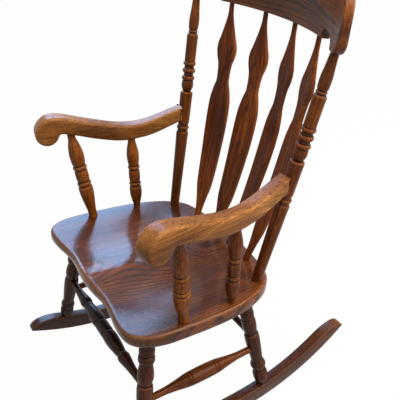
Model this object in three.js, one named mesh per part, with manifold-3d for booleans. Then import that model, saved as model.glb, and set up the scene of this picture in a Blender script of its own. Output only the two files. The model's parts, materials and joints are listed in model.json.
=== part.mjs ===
// A wooden rocking chair of the boston kind: saddled seat, turned legs, posts and spindles,
// four arrow slats, a bent crest rail, scrolled arms and two curved rockers.
// All lengths are millimetres. Every piece is drawn in the seat's own frame: the seat top is
// z = 0, +x is the sitter's left, +y is the back. The whole chair is then leaned back to the
// way it stands at rest on its rockers, with the floor at z = 0.
import * as THREE from 'three';
import { mergeVertices } from 'three/addons/utils/BufferGeometryUtils.js';
import Module from 'manifold-3d';

const wasm = await Module();
wasm.setup();

// Fit of one piece in another
const clearance = 0.3;
const cutOverrun = 8;
const weldDistance = 1e-4;

// Seat board
const seatHalfWidth = 279;
const seatDepth = 447;
const seatFront = -190.5;
const seatThickness = 36;
const seatEdgeRound = 9;
const seatUndercutInset = 6;
const seatUndercutRise = 8;
const seatFrontUndercut = 17;
const seatFrontUndercutReach = 95;
const saddleDepth = 11;
const saddleSpread = 112;
const saddleLobeWidth = 92;
const saddleLobeReach = 178;
const saddleCentre = -10;
const pommelWidth = 46;
const pommelRise = 5;
const pommelReach = 120;

// Rockers. The sole is three arcs that run smoothly into each other: the front one, a flatter
// one where the chair rests, and the back one. Runs are measured along it from its lowest point.
const rockerFrontRadius = 760;
const rockerMiddleRadius = 1000;
const rockerBackRadius = 562;
const rockerMiddleRun = 162;
const rockerLowest = { y: 11, z: -394 };
const rockerHeight = 44;
const rockerThickness = 29;
const rockerOffset = 255.6;
const rockerFrontRun = 277;
const rockerBackRun = 518;
const rockerNoseLength = 80;
const rockerNoseDrop = 41;
const rockerEdgeRound = 3;
const restFlatLength = 36;

// How far the seat leans back when the chair stands at rest, in degrees
const restLean = 8.3;

// Legs: how far in from the seat's side, and from its front or back, each axis meets the
// underside of the seat, and the run along the sole over which its foot stands
const legTenonRadius = 11;
const legTenonLength = 19;
const footTenonRadius = 7.5;
const footTenonLength = 22;
const frontLegRadius = 20.6;
const frontLegInset = { x: 68.5, y: 72.6 };
const frontLegFootRun = -171;
const rearLegRadius = 20.6;
const rearLegInset = { x: 73, y: 104.5 };
const rearLegFootRun = 222;

// Stretchers between the legs
const frontStretcherRadius = 18.8;
const sideStretcherRadius = 19;
const backStretcherRadius = 11;
const stretcherTenonReach = 6;
const stretcherLegShares = { front: 0.53, sideFront: 0.655, sideRear: 0.585, back: 0.44 };

// Back posts
const postRadius = 17.5;
const postInset = { x: 71.2, y: 67.1 };
const postTopInset = 45;
const postShoulderGap = 1.3;
const postSeatTenonLength = 22;
const postTenonRadius = 7;
const postTenonLength = 30;

// Arms: a curved rail over the axes of its two spindles. The marks tell where those axes meet
// its underside: how far in from the seat's side and from its front or back, and how high above
// the arm's lowest line.
const armOuterHalfWidth = 21;
const armInnerHalfWidth = 27;
const armInnerHalfWidthAtPost = 16;
const armEdgeRound = 7;
const armFrontReach = 93;
const armPostGap = 14.6;
const armRise = 86;
const armLow = 221;
const frontSpindleMark = { x: -12.5, y: 91.4, rise: 29.5 };
const rearSpindleMark = { x: 20, y: 189.8, rise: 0.5 };

// Arm spindles
const frontSpindleRadius = 20;
const frontSpindleInset = { x: 24.5, y: 137.4 };
const rearSpindleRadius = 17.6;
const rearSpindleInset = { x: 30.6, y: 172.7 };
const spindleTenonLength = 20;

// Arrow slats of the back. Their tops stand at shares of the crest rail's run up to its notch.
const slatWidth = 68;
const slatThickness = 12;
const slatTenonLength = 20;
const outerSlat = { baseX: 123, baseInset: 38.5, topShare: 0.855, bow: 17, turn: 19 };
const innerSlat = { baseX: 37, baseInset: 32.5, topShare: 0.281, bow: 23, turn: 13 };

// Crest rail
const crestPlanRadius = 520;
const crestMiddleBehindSeat = 77;
const crestHalfRun = 326;
const crestThickness = 22;
const crestBackTaper = 3;
const crestEdgeRound = 5;
const crestBottom = 594;
const crestHeight = 142;
const crestEndHeight = 130;
const crestEndRound = 75;
const crestNotchStartInset = 126;
const crestNotchTopInset = 108;
const crestNotchEndInset = 58;
const crestNotchLift = 3.6;
const crestNotchHeight = 21;
const crestEarDrop = 8;
const crestEarRound = 38;

// The crest rail's lean, in degrees
const crestLean = 3.5;

// Fasteners that the wood hides
const armScrewRadius = 2.4;
const armScrewHeadRadius = 4.6;
const armScrewLength = 62;
const armScrewHeadLength = 3.2;
const armScrewHeight = 292;
const armScrewReach = 48;
const armScrewDrop = 14;
const armPlugRadius = 5.2;
const armPlugLength = 6;
const armPlugCrown = 1.2;
const armPlugSeatShare = 0.95;
const pinRadius = 2;
const rockerPinLength = 24;
const crestPinLength = 15;

// Facets
const legSides = 12;
const postSides = 12;
const spindleSides = 10;
const stretcherSides = 10;
const tenonSides = 10;
const screwSides = 8;

// Materials read from the photograph: a stained oak, darker where it is turned
const oak = { color: 0x7a4520, roughness: 0.42, metalness: 0 };
const oakTurned = { color: 0x6c3a1b, roughness: 0.4, metalness: 0 };
const oakDark = { color: 0x54301c, roughness: 0.38, metalness: 0 };
const steel = { color: 0x8d8a84, roughness: 0.35, metalness: 1 };

const seatBack = seatFront + seatDepth;
const crestNotchStart = crestHalfRun - crestNotchStartInset;
const crestNotchTopRun = crestHalfRun - crestNotchTopInset;
const crestNotchEnd = crestHalfRun - crestNotchEndInset;

const chair = new THREE.Group();
const up = new THREE.Vector3(0, 0, 1);

function vec(x, y, z) {
  return new THREE.Vector3(x, y, z);
}

// A point in from the seat's side, and from its front or its back edge
function inFromFront(inset, z) {
  return vec(seatHalfWidth - inset.x, seatFront + inset.y, z);
}

function inFromBack(inset, z) {
  return vec(seatHalfWidth - inset.x, seatBack - inset.y, z);
}

function mirrored(point) {
  return vec(-point.x, point.y, point.z);
}

// Solids

function toManifold(geometry) {
  const bare = geometry.clone();
  bare.deleteAttribute('normal');
  bare.deleteAttribute('uv');
  const welded = mergeVertices(bare, weldDistance);
  const corners = welded.index.array;
  const triangles = [];
  for (let start = 0; start < corners.length; start += 3) {
    const [a, b, c] = corners.slice(start, start + 3);
    if (a !== b && b !== c && c !== a) {
      triangles.push(a, b, c);
    }
  }
  return new wasm.Manifold(new wasm.Mesh({
    numProp: 3,
    vertProperties: new Float32Array(welded.attributes.position.array),
    triVerts: new Uint32Array(triangles),
  }));
}

function toGeometry(solid) {
  const mesh = solid.getMesh();
  const geometry = new THREE.BufferGeometry();
  geometry.setAttribute('position', new THREE.BufferAttribute(mesh.vertProperties, mesh.numProp));
  geometry.setIndex(new THREE.BufferAttribute(mesh.triVerts, 1));
  return geometry;
}

// A closed skin through rings of equally many points, with a flat or peaked cap at each end.
function loft(rings, capStart, capEnd) {
  const count = rings[0].length;
  const positions = [];
  const indices = [];
  for (const ring of rings) {
    for (const point of ring) {
      positions.push(point.x, point.y, point.z);
    }
  }
  for (let row = 0; row < rings.length - 1; row += 1) {
    for (let side = 0; side < count; side += 1) {
      const next = (side + 1) % count;
      const a = row * count + side;
      const b = row * count + next;
      indices.push(a, b, b + count, a, b + count, a + count);
    }
  }
  const startIndex = rings.length * count;
  const endIndex = startIndex + 1;
  positions.push(capStart.x, capStart.y, capStart.z, capEnd.x, capEnd.y, capEnd.z);
  const lastRow = (rings.length - 1) * count;
  for (let side = 0; side < count; side += 1) {
    const next = (side + 1) % count;
    indices.push(startIndex, next, side);
    indices.push(endIndex, lastRow + side, lastRow + next);
  }
  const geometry = new THREE.BufferGeometry();
  geometry.setAttribute('position', new THREE.Float32BufferAttribute(positions, 3));
  geometry.setIndex(indices);
  return geometry;
}

function centreOf(ring) {
  const sum = vec(0, 0, 0);
  ring.forEach((point) => sum.add(point));
  return sum.divideScalar(ring.length);
}

function cappedLoft(rings) {
  return loft(rings, centreOf(rings[0]), centreOf(rings[rings.length - 1]));
}

// The matrix that puts a piece drawn along +z on the line from one point towards another.
function alongLine(from, to) {
  const direction = to.clone().sub(from).normalize();
  const turn = new THREE.Quaternion().setFromUnitVectors(up, direction);
  return new THREE.Matrix4().compose(from, turn, vec(1, 1, 1));
}

function rodBetween(from, to, radius, sides = tenonSides) {
  const length = from.distanceTo(to);
  const rod = new THREE.CylinderGeometry(radius, radius, length, sides);
  rod.rotateX(Math.PI / 2);
  rod.translate(0, 0, length / 2);
  return rod.applyMatrix4(alongLine(from, to));
}

// A turned piece drawn along +z: profile points are shares of its length and its largest radius.
function turned(profileShares, length, radius, sides) {
  const outline = [new THREE.Vector2(0, 0)];
  for (const [lengthShare, radiusShare] of profileShares) {
    outline.push(new THREE.Vector2(radius * radiusShare, length * lengthShare));
  }
  outline.push(new THREE.Vector2(0, length));
  const lathe = new THREE.LatheGeometry(outline, sides);
  return lathe.rotateX(Math.PI / 2);
}

// Each piece is drawn about its own origin, and kept in the seat frame with its placing matrix.
const pieces = new Map();

function addPiece(name, geometry, material, place = new THREE.Matrix4()) {
  pieces.set(name, { solid: toManifold(geometry.applyMatrix4(place)), material, place });
}

function cut(name, ...tools) {
  const piece = pieces.get(name);
  for (const tool of tools) {
    piece.solid = piece.solid.subtract(toManifold(tool));
  }
}

function join(name, ...tools) {
  const piece = pieces.get(name);
  for (const tool of tools) {
    piece.solid = piece.solid.add(toManifold(tool));
  }
}

function extended(from, to, distance) {
  return to.clone().add(to.clone().sub(from).setLength(distance));
}

// A hole with flat facets must be this wide to stand clear of a round piece all the way round.
function clearAround(radius, facets) {
  return radius / Math.cos(Math.PI / facets) + clearance;
}

// A round tenon past the end of a piece, and its socket in the neighbour. The tenon starts
// inside its own piece, and the socket is wider and deeper by the clearance.
function tenonInto(owner, neighbour, from, end, radius, length) {
  const tip = extended(from, end, length);
  const root = extended(from, end, -length / 2);
  join(owner, rodBetween(root, tip, radius));
  socketFor(neighbour, from, end, radius, length);
}

function socketFor(neighbour, from, end, radius, length) {
  const floor = extended(from, end, length + clearance);
  const mouth = extended(from, end, -cutOverrun);
  cut(neighbour, rodBetween(mouth, floor, clearAround(radius, tenonSides)));
}

// Sides: +1 is the sitter's left, -1 the sitter's right
const sides = [
  { name: 'left', sign: 1 },
  { name: 'right', sign: -1 },
];

function onSide(point, sign) {
  return sign > 0 ? point.clone() : mirrored(point);
}

// Seat
const seatOutlineShares = [
  [0, 0.0078], [0.161, 0.0145], [0.33, 0.027], [0.495, 0.019], [0.638, 0.0045], [0.76, 0],
  [0.853, 0.01], [0.925, 0.046], [0.971, 0.1], [0.995, 0.18], [1, 0.267], [1, 0.377],
  [0.995, 0.489], [0.982, 0.587], [0.95, 0.699], [0.907, 0.782], [0.864, 0.84], [0.806, 0.893],
  [0.724, 0.937], [0.613, 0.963], [0.434, 0.983], [0.215, 0.997],
];
const seatInnerRingShares = [0.93, 0.84, 0.72, 0.58, 0.42, 0.25, 0.1];
const seatOutlineSteps = 52;

function seatOutline() {
  const half = seatOutlineShares.map(([x, y]) => vec(x * seatHalfWidth, seatFront + y * seatDepth, 0));
  const backCentre = vec(0, seatBack, 0);
  const other = half.slice(1).reverse().map(mirrored);
  const curve = new THREE.CatmullRomCurve3([...half, backCentre, ...other], true, 'centripetal');
  return curve.getSpacedPoints(seatOutlineSteps).slice(0, seatOutlineSteps);
}

function insetPoint(ring, index, inset) {
  const before = ring[(index + ring.length - 1) % ring.length];
  const after = ring[(index + 1) % ring.length];
  const inward = vec(before.y - after.y, after.x - before.x, 0).normalize();
  return ring[index].clone().addScaledVector(inward, inset);
}

// Two hollows for the thighs with a low ridge between them that rises to the front edge.
function saddleHeight(x, y) {
  const reach = Math.exp(-(((y - saddleCentre) / saddleLobeReach) ** 4));
  const lobes = Math.exp(-(((x - saddleSpread) / saddleLobeWidth) ** 2))
    + Math.exp(-(((x + saddleSpread) / saddleLobeWidth) ** 2));
  const ridge = Math.exp(-((x / pommelWidth) ** 2))
    * Math.exp(-(((y - seatFront) / pommelReach) ** 2));
  return -saddleDepth * Math.min(lobes, 1) * reach + pommelRise * ridge;
}

// The underside's edge is cut back, and much more at the front than at the sides and the back.
function undercutRing(outline, plain, share, height) {
  return outline.map((point, index) => {
    const frontShare = THREE.MathUtils.clamp(1 - (point.y - seatFront) / seatFrontUndercutReach, 0, 1);
    const inset = share * THREE.MathUtils.lerp(plain, seatFrontUndercut, frontShare);
    const rise = height * THREE.MathUtils.lerp(plain, seatFrontUndercut, frontShare);
    return insetPoint(outline, index, inset).setZ(rise - seatThickness);
  });
}

function seatGeometry() {
  const outline = seatOutline();
  const centre = vec(0, seatFront + seatDepth / 2, 0);
  const roundStep = seatEdgeRound * (1 - Math.SQRT1_2);
  const topRing = (inset, drop) => outline
    .map((point, index) => insetPoint(outline, index, inset))
    .map((point) => point.setZ(saddleHeight(point.x, point.y) - drop));
  const rings = [
    undercutRing(outline, seatUndercutInset, 1, 0),
    undercutRing(outline, seatUndercutRise, 0, 1),
    topRing(0, seatEdgeRound),
    topRing(roundStep, roundStep),
    topRing(seatEdgeRound, 0),
  ];
  const rim = rings[rings.length - 1];
  for (const share of seatInnerRingShares) {
    rings.push(rim.map((point) => {
      const x = centre.x + (point.x - centre.x) * share;
      const y = centre.y + (point.y - centre.y) * share;
      return vec(x, y, saddleHeight(x, y));
    }));
  }
  const top = centre.clone().setZ(saddleHeight(centre.x, centre.y));
  return loft(rings, centre.clone().setZ(-seatThickness), top);
}

addPiece('seat', seatGeometry(), oak);

// Rockers
const rockerTopSteps = 18;
const noseRunShares = [0.3, 0.55, 0.75, 0.9, 0.98];

// A point at a run along the sole, raised square to it.
function rockerPoint(run, rise) {
  const { y, z } = rockerLowest;
  if (run <= rockerMiddleRun) {
    const radius = run < 0 ? rockerFrontRadius : rockerMiddleRadius;
    const turn = run / radius;
    return vec(0, y + (radius - rise) * Math.sin(turn), z + radius - (radius - rise) * Math.cos(turn));
  }
  const turnBefore = rockerMiddleRun / rockerMiddleRadius;
  const step = rockerMiddleRadius - rockerBackRadius;
  const centreY = y + step * Math.sin(turnBefore);
  const centreZ = z + rockerMiddleRadius - step * Math.cos(turnBefore);
  const turn = turnBefore + (run - rockerMiddleRun) / rockerBackRadius;
  const radius = rockerBackRadius - rise;
  return vec(0, centreY + radius * Math.sin(turn), centreZ - radius * Math.cos(turn));
}

// The side outline: the sole has flat facets, one of them centred where the chair rests, and
// both ends are rounded down from the top edge.
function rockerOutline(grow) {
  const contact = rockerMiddleRadius * THREE.MathUtils.degToRad(restLean);
  const first = contact - restFlatLength / 2;
  const facetsAhead = Math.floor((first + rockerFrontRun) / restFlatLength);
  const facetsBehind = Math.floor((rockerBackRun - first) / restFlatLength);
  const outline = [rockerPoint(-rockerFrontRun, -grow)];
  for (let facet = -facetsAhead; facet <= facetsBehind; facet += 1) {
    outline.push(rockerPoint(first + facet * restFlatLength, -grow));
  }
  outline.push(rockerPoint(rockerBackRun, -grow));
  const top = rockerHeight + grow;
  const nosePoint = (tip, inward, share) => rockerPoint(
    tip + inward * (1 - share) * rockerNoseLength,
    top - (1 - Math.sqrt(1 - share ** 2)) * rockerNoseDrop,
  );
  [...noseRunShares].reverse().forEach((share) => outline.push(nosePoint(rockerBackRun, -1, share)));
  const backTop = rockerBackRun - rockerNoseLength;
  const frontTop = rockerNoseLength - rockerFrontRun;
  for (let step = 0; step <= rockerTopSteps; step += 1) {
    const share = step / rockerTopSteps;
    outline.push(rockerPoint(THREE.MathUtils.lerp(backTop, frontTop, share), top));
  }
  noseRunShares.forEach((share) => outline.push(nosePoint(-rockerFrontRun, 1, share)));
  return outline;
}

// A side outline, drawn with y to the right and z up, made as thick as asked along x.
function sidePlate(outline, thickness, round) {
  const shape = new THREE.Shape(outline.map((point) => new THREE.Vector2(point.y, point.z)));
  const depth = thickness - 2 * round;
  const plate = new THREE.ExtrudeGeometry(shape, {
    depth,
    bevelEnabled: round > 0,
    bevelThickness: round,
    bevelSize: round,
    bevelOffset: -round,
    bevelSegments: round > 0 ? 2 : 0,
    curveSegments: 1,
  });
  plate.translate(0, 0, -depth / 2);
  return plate.applyMatrix4(new THREE.Matrix4().makeBasis(vec(0, 1, 0), vec(0, 0, 1), vec(1, 0, 0)));
}

function rockerPlace(sign) {
  return new THREE.Matrix4().makeTranslation(sign * rockerOffset, 0, 0);
}

for (const side of sides) {
  const rocker = sidePlate(rockerOutline(0), rockerThickness, rockerEdgeRound);
  addPiece(`${side.name}_rocker`, rocker, oak, rockerPlace(side.sign));
}

// Legs. Profile points run from the foot (0) up to the seat (1).
const frontLegShares = [
  [0, 0.62], [0.025, 0.78], [0.06, 0.93], [0.095, 0.92], [0.115, 0.82], [0.13, 0.86],
  [0.157, 0.95], [0.185, 0.86], [0.2, 0.78], [0.3, 0.85], [0.4, 0.96], [0.45, 0.97],
  [0.5, 0.91], [0.507, 0.8], [0.54, 0.88], [0.582, 0.98], [0.63, 0.95], [0.685, 0.82],
  [0.705, 0.82], [0.735, 1], [0.765, 0.98], [0.782, 0.84], [0.795, 0.93], [0.83, 0.94],
  [0.85, 0.86], [0.9, 0.9], [1, 0.88],
];
const rearLegShares = [
  [0, 0.6], [0.03, 0.78], [0.075, 0.96], [0.115, 0.98], [0.155, 0.86], [0.17, 0.8], [0.2, 0.92],
  [0.225, 1], [0.25, 0.92], [0.27, 0.76], [0.33, 0.8], [0.42, 0.9], [0.52, 0.96], [0.57, 0.9],
  [0.588, 0.75], [0.62, 0.84], [0.69, 0.93], [0.74, 0.86], [0.755, 0.8], [0.775, 0.88],
  [0.81, 0.9], [0.835, 0.84], [0.9, 0.9], [1, 0.88],
];

function footPoint(run, sign) {
  return rockerPoint(run, rockerHeight).setX(sign * rockerOffset);
}

function legLine(spec, sign) {
  return { foot: footPoint(spec.footRun, sign), top: onSide(spec.top, sign) };
}

// The leg runs a little past both of its ends and is trimmed to the seat and the rocker.
function legGeometry(spec, length) {
  const trim = spec.radius / 2;
  const first = spec.shares[0];
  const last = spec.shares[spec.shares.length - 1];
  const shares = [[-trim / length, first[1]], ...spec.shares, [1 + trim / length, last[1]]];
  return turned(shares, length, spec.radius, legSides);
}

function seatUnderside() {
  const block = new THREE.BoxGeometry(2 * seatHalfWidth, 2 * seatDepth, seatThickness);
  return block.translate(0, 0, -seatThickness / 2 - clearance);
}

const legSpecs = [
  {
    name: 'front',
    top: inFromFront(frontLegInset, -seatThickness),
    footRun: frontLegFootRun,
    radius: frontLegRadius,
    shares: frontLegShares,
  },
  {
    name: 'rear',
    top: inFromBack(rearLegInset, -seatThickness),
    footRun: rearLegFootRun,
    radius: rearLegRadius,
    shares: rearLegShares,
  },
];

for (const side of sides) {
  const rockerName = `${side.name}_rocker`;
  const rockerClear = sidePlate(rockerOutline(clearance), 2 * rockerThickness, 0);
  rockerClear.applyMatrix4(rockerPlace(side.sign));
  for (const spec of legSpecs) {
    const name = `${spec.name}_${side.name}_leg`;
    const { foot, top } = legLine(spec, side.sign);
    addPiece(name, legGeometry(spec, foot.distanceTo(top)), oakTurned, alongLine(foot, top));
    cut(name, seatUnderside(), rockerClear);
    tenonInto(name, 'seat', foot, top, legTenonRadius, legTenonLength);
    tenonInto(name, rockerName, top, foot, footTenonRadius, footTenonLength);
  }
}

// Cross pins hold the foot tenons in the rockers. They are driven from the side that faces the
// other rocker.
function rockerPin(spec, side) {
  const { foot, top } = legLine(spec, side.sign);
  const middle = extended(top, foot, footTenonLength / 2);
  const outer = middle.clone().setX(side.sign * (rockerOffset - rockerThickness / 2));
  const inner = outer.clone().setX(outer.x + side.sign * rockerPinLength);
  return { outer, inner };
}

function drivePin(name, outer, inner, ...through) {
  const mouth = extended(inner, outer, cutOverrun);
  const floor = extended(outer, inner, clearance);
  const head = extended(inner, outer, -clearance);
  for (const neighbour of through) {
    cut(neighbour, rodBetween(mouth, floor, clearAround(pinRadius, screwSides), screwSides));
  }
  addPiece(name, rodBetween(head, inner, pinRadius, screwSides), steel);
}

for (const side of sides) {
  for (const spec of legSpecs) {
    const { outer, inner } = rockerPin(spec, side);
    const name = `${spec.name}_${side.name}_rocker_pin`;
    drivePin(name, outer, inner, `${side.name}_rocker`, `${spec.name}_${side.name}_leg`);
  }
}

// Stretchers. Profile points run from end to end; the second half mirrors the first.
const frontStretcherHalfShares = [
  [0, 0.46], [0.05, 0.47], [0.12, 0.56], [0.18, 0.7], [0.215, 0.82], [0.235, 0.84],
  [0.255, 0.74], [0.27, 0.68], [0.3, 0.8], [0.35, 0.94], [0.4, 1], [0.435, 0.95],
  [0.452, 0.9], [0.462, 0.96], [0.5, 0.94],
];
const sideStretcherHalfShares = [
  [0, 0.46], [0.05, 0.47], [0.15, 0.5], [0.23, 0.6], [0.3, 0.76], [0.345, 0.89], [0.36, 0.85],
  [0.375, 0.93], [0.388, 0.9], [0.4, 0.97], [0.5, 1],
];
const backStretcherHalfShares = [[0, 0.78], [0.12, 0.8], [0.3, 0.92], [0.5, 1]];

function mirroredShares(halfShares) {
  const other = halfShares.slice(0, -1).reverse().map(([run, radius]) => [1 - run, radius]);
  return [...halfShares, ...other];
}

function onLeg(spec, sign, shareDown) {
  const { foot, top } = legLine(spec, sign);
  return top.clone().lerp(foot, shareDown);
}

function addStretcher(name, from, to, radius, halfShares, legNames) {
  const start = extended(to, from, -stretcherTenonReach);
  const end = extended(from, to, -stretcherTenonReach);
  const shares = mirroredShares(halfShares);
  const body = turned(shares, start.distanceTo(end), radius, stretcherSides);
  addPiece(name, body, oakDark, alongLine(start, end));
  const tenonRadius = radius * shares[0][1];
  const reach = frontLegRadius + cutOverrun;
  [[legNames[0], to, start], [legNames[1], from, end]].forEach(([leg, far, tip]) => {
    const socket = [extended(far, tip, clearance), extended(far, tip, -reach)];
    cut(leg, rodBetween(...socket, clearAround(tenonRadius, tenonSides)));
  });
}

const [frontLeg, rearLeg] = legSpecs;
addStretcher(
  'front_stretcher',
  onLeg(frontLeg, 1, stretcherLegShares.front),
  onLeg(frontLeg, -1, stretcherLegShares.front),
  frontStretcherRadius,
  frontStretcherHalfShares,
  ['front_left_leg', 'front_right_leg'],
);
addStretcher(
  'back_stretcher',
  onLeg(rearLeg, 1, stretcherLegShares.back),
  onLeg(rearLeg, -1, stretcherLegShares.back),
  backStretcherRadius,
  backStretcherHalfShares,
  ['rear_left_leg', 'rear_right_leg'],
);
for (const side of sides) {
  addStretcher(
    `${side.name}_side_stretcher`,
    onLeg(frontLeg, side.sign, stretcherLegShares.sideFront),
    onLeg(rearLeg, side.sign, stretcherLegShares.sideRear),
    sideStretcherRadius,
    sideStretcherHalfShares,
    [`front_${side.name}_leg`, `rear_${side.name}_leg`],
  );
}

// Crest rail: bent in plan, its face leaning back a little as it rises
const crestPlainSteps = 5;
const crestNotchSteps = 4;
const crestEndSteps = 5;

function crestFrame(run) {
  const turn = run / crestPlanRadius;
  const lean = THREE.MathUtils.degToRad(crestLean);
  const out = vec(Math.sin(turn), Math.cos(turn), 0);
  const rise = out.clone().multiplyScalar(Math.sin(lean)).setZ(Math.cos(lean));
  const back = out.clone().multiplyScalar(Math.cos(lean)).setZ(-Math.sin(lean));
  const middleY = seatBack + crestMiddleBehindSeat;
  const centre = vec(0, middleY - crestPlanRadius, 0).addScaledVector(out, crestPlanRadius);
  return { origin: centre.setZ(crestBottom), rise, back };
}

// The lower edge: a notch that rises steeply and falls gently to the ear at the rail's end
function crestLower(run) {
  if (run <= crestNotchStart) {
    return 0;
  }
  if (run < crestNotchTopRun) {
    const share = (crestNotchTopRun - run) / (crestNotchTopRun - crestNotchStart);
    return crestNotchLift + (crestNotchHeight - crestNotchLift) * Math.sqrt(1 - share ** 2);
  }
  if (run < crestNotchEnd) {
    const share = (run - crestNotchTopRun) / (crestNotchEnd - crestNotchTopRun);
    return (crestNotchHeight + crestEarDrop) * Math.sqrt(1 - share ** 2) - crestEarDrop;
  }
  const corner = Math.max(crestEarRound - (crestHalfRun - run), 0);
  return crestEarRound - Math.sqrt(crestEarRound ** 2 - corner ** 2) - crestEarDrop;
}

function crestUpper(run) {
  const arch = (run / crestHalfRun) ** 2;
  const corner = Math.max(crestEndRound - (crestHalfRun - run), 0);
  return crestHeight - (crestHeight - crestEndHeight) * arch
    - (crestEndRound - Math.sqrt(crestEndRound ** 2 - corner ** 2));
}

// Where sections stand along the rail, closer together at the notch and at the rounded end
function crestStations() {
  const stations = [];
  for (let step = 0; step <= crestPlainSteps; step += 1) {
    stations.push(crestNotchStart * step / crestPlainSteps);
  }
  const { lerp } = THREE.MathUtils;
  for (let step = 0; step < crestNotchSteps; step += 1) {
    const share = Math.cos(Math.PI / 2 * step / crestNotchSteps);
    stations.push(lerp(crestNotchTopRun, crestNotchStart + clearance, share));
  }
  for (let step = 0; step <= crestNotchSteps; step += 1) {
    const share = Math.sin(Math.PI / 2 * step / crestNotchSteps);
    stations.push(lerp(crestNotchTopRun, crestNotchEnd, share));
  }
  for (let step = 1; step <= crestEndSteps; step += 1) {
    const share = Math.sin(Math.PI / 2 * step / (crestEndSteps + 0.5));
    stations.push(lerp(crestNotchEnd, crestHalfRun, share));
  }
  return stations;
}

function crestSection(run) {
  const { origin, rise, back } = crestFrame(run);
  const low = crestLower(Math.abs(run));
  const high = crestUpper(Math.abs(run));
  const half = crestThickness / 2;
  const topBack = half - crestBackTaper;
  const round = crestEdgeRound;
  const corners = [
    [-half + round, low], [half - round, low], [half, low + round], [topBack, high - round],
    [topBack - round, high], [-half + round, high], [-half, high - round], [-half, low + round],
  ];
  return corners.map(([depth, height]) => origin.clone()
    .addScaledVector(back, depth).addScaledVector(rise, height));
}

function crestGeometry() {
  const half = crestStations();
  const runs = [...half.slice(1).reverse().map((run) => -run), ...half];
  return cappedLoft(runs.map(crestSection));
}

addPiece('crest_rail', crestGeometry(), oak);

// Back posts. Profile points run from the seat (0) up to the crest rail (1).
const postShares = [
  [0, 0.73], [0.143, 0.83], [0.215, 0.87], [0.287, 0.92], [0.36, 0.97], [0.38, 1], [0.388, 0.88],
  [0.394, 0.85], [0.402, 0.93], [0.415, 0.97], [0.425, 0.9], [0.45, 0.93], [0.54, 0.97],
  [0.555, 0.98], [0.57, 0.97], [0.582, 0.65], [0.595, 0.8], [0.618, 0.89], [0.633, 0.8],
  [0.641, 0.92], [0.65, 0.9], [0.66, 0.82], [0.668, 0.88], [0.677, 1], [0.686, 0.86],
  [0.697, 0.82], [0.704, 0.9], [0.711, 0.99], [0.72, 0.85], [0.815, 0.84], [0.838, 0.87],
  [0.85, 0.74], [0.86, 0.58], [0.872, 0.74], [0.906, 0.78], [0.95, 0.66], [1, 0.54],
];

// Adds the straight ends that go into the neighbours.
function tenoned(profileShares, length, radius, tenonStart, tenonEnd, facets) {
  const shares = [...profileShares];
  if (tenonStart > 0) {
    shares.unshift([-tenonStart / length, shares[0][1]]);
  }
  if (tenonEnd > 0) {
    shares.push([1 + tenonEnd / length, shares.at(-1)[1]]);
  }
  return turned(shares, length, radius, facets);
}

// Each post's axis runs from the seat to the middle of the ear's lower edge. Its slanting
// shoulder stops just under that edge.
function postLine(sign) {
  const run = crestHalfRun - postTopInset;
  const { origin, rise } = crestFrame(sign * run);
  const top = origin.addScaledVector(rise, crestLower(run) - postShoulderGap);
  return { base: onSide(inFromBack(postInset, 0), sign), top };
}

for (const side of sides) {
  const name = `${side.name}_back_post`;
  const { base, top } = postLine(side.sign);
  const body = tenoned(postShares, base.distanceTo(top), postRadius, postSeatTenonLength, 0, postSides);
  addPiece(name, body, oakTurned, alongLine(base, top));
  socketFor('seat', top, base, postRadius * postShares[0][1], postSeatTenonLength);
  tenonInto(name, 'crest_rail', base, top, postTenonRadius, postTenonLength);
}

// Arm spindles. Profile points run from the seat (0) up to the arm (1).
const frontSpindleShares = [
  [0, 0.59], [0.08, 0.61], [0.16, 0.72], [0.23, 0.87], [0.3, 0.98], [0.34, 0.99], [0.372, 0.91],
  [0.382, 0.84], [0.392, 0.92], [0.412, 0.96], [0.432, 0.88], [0.44, 0.84], [0.455, 0.9],
  [0.476, 0.87], [0.5, 0.92], [0.54, 0.9], [0.57, 0.84], [0.58, 0.92], [0.6, 0.96], [0.62, 0.9],
  [0.632, 0.8], [0.655, 0.86], [0.7, 0.98], [0.74, 1], [0.8, 0.92], [0.87, 0.74], [0.93, 0.53],
  [1, 0.5],
];
const rearSpindleShares = [
  [0, 0.57], [0.05, 0.62], [0.12, 0.8], [0.19, 0.97], [0.24, 1], [0.29, 0.94], [0.31, 0.82],
  [0.325, 0.9], [0.352, 0.97], [0.375, 0.9], [0.385, 0.82], [0.41, 0.9], [0.45, 0.87],
  [0.48, 0.9], [0.53, 0.86], [0.545, 0.8], [0.56, 0.9], [0.588, 0.95], [0.61, 0.88],
  [0.625, 0.74], [0.67, 0.88], [0.72, 0.98], [0.76, 0.99], [0.83, 0.9], [0.9, 0.72], [0.95, 0.61],
  [1, 0.6],
];

const frontSpindle = {
  name: 'front',
  inward: inFromFront,
  inset: frontSpindleInset,
  mark: frontSpindleMark,
  radius: frontSpindleRadius,
  shares: frontSpindleShares,
};
const rearSpindle = {
  name: 'rear',
  inward: inFromBack,
  inset: rearSpindleInset,
  mark: rearSpindleMark,
  radius: rearSpindleRadius,
  shares: rearSpindleShares,
};

// Arms. Outline points are shares of the arm's run and of its rise, from the post forward
// along the top, round the scroll and back along the underside.
const armOutlineShares = [
  [0, 0.95], [0.05, 0.885], [0.1, 0.8], [0.165, 0.69], [0.26, 0.555], [0.345, 0.5], [0.455, 0.52],
  [0.595, 0.65], [0.72, 0.795], [0.8, 0.895], [0.858, 0.945], [0.898, 0.945], [0.94, 0.875],
  [0.972, 0.735], [0.995, 0.555], [1, 0.385], [0.99, 0.225], [0.965, 0.1], [0.93, 0.04],
  [0.893, 0.068], [0.865, 0.17], [0.85, 0.295], [0.838, 0.385], [0.798, 0.37], [0.73, 0.295],
  [0.608, 0.14], [0.453, 0], [0.37, -0.005], [0.322, 0.02], [0.245, 0.08], [0.177, 0.175],
  [0.095, 0.33], [0, 0.52],
];
const armOutlineSteps = 52;

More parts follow.
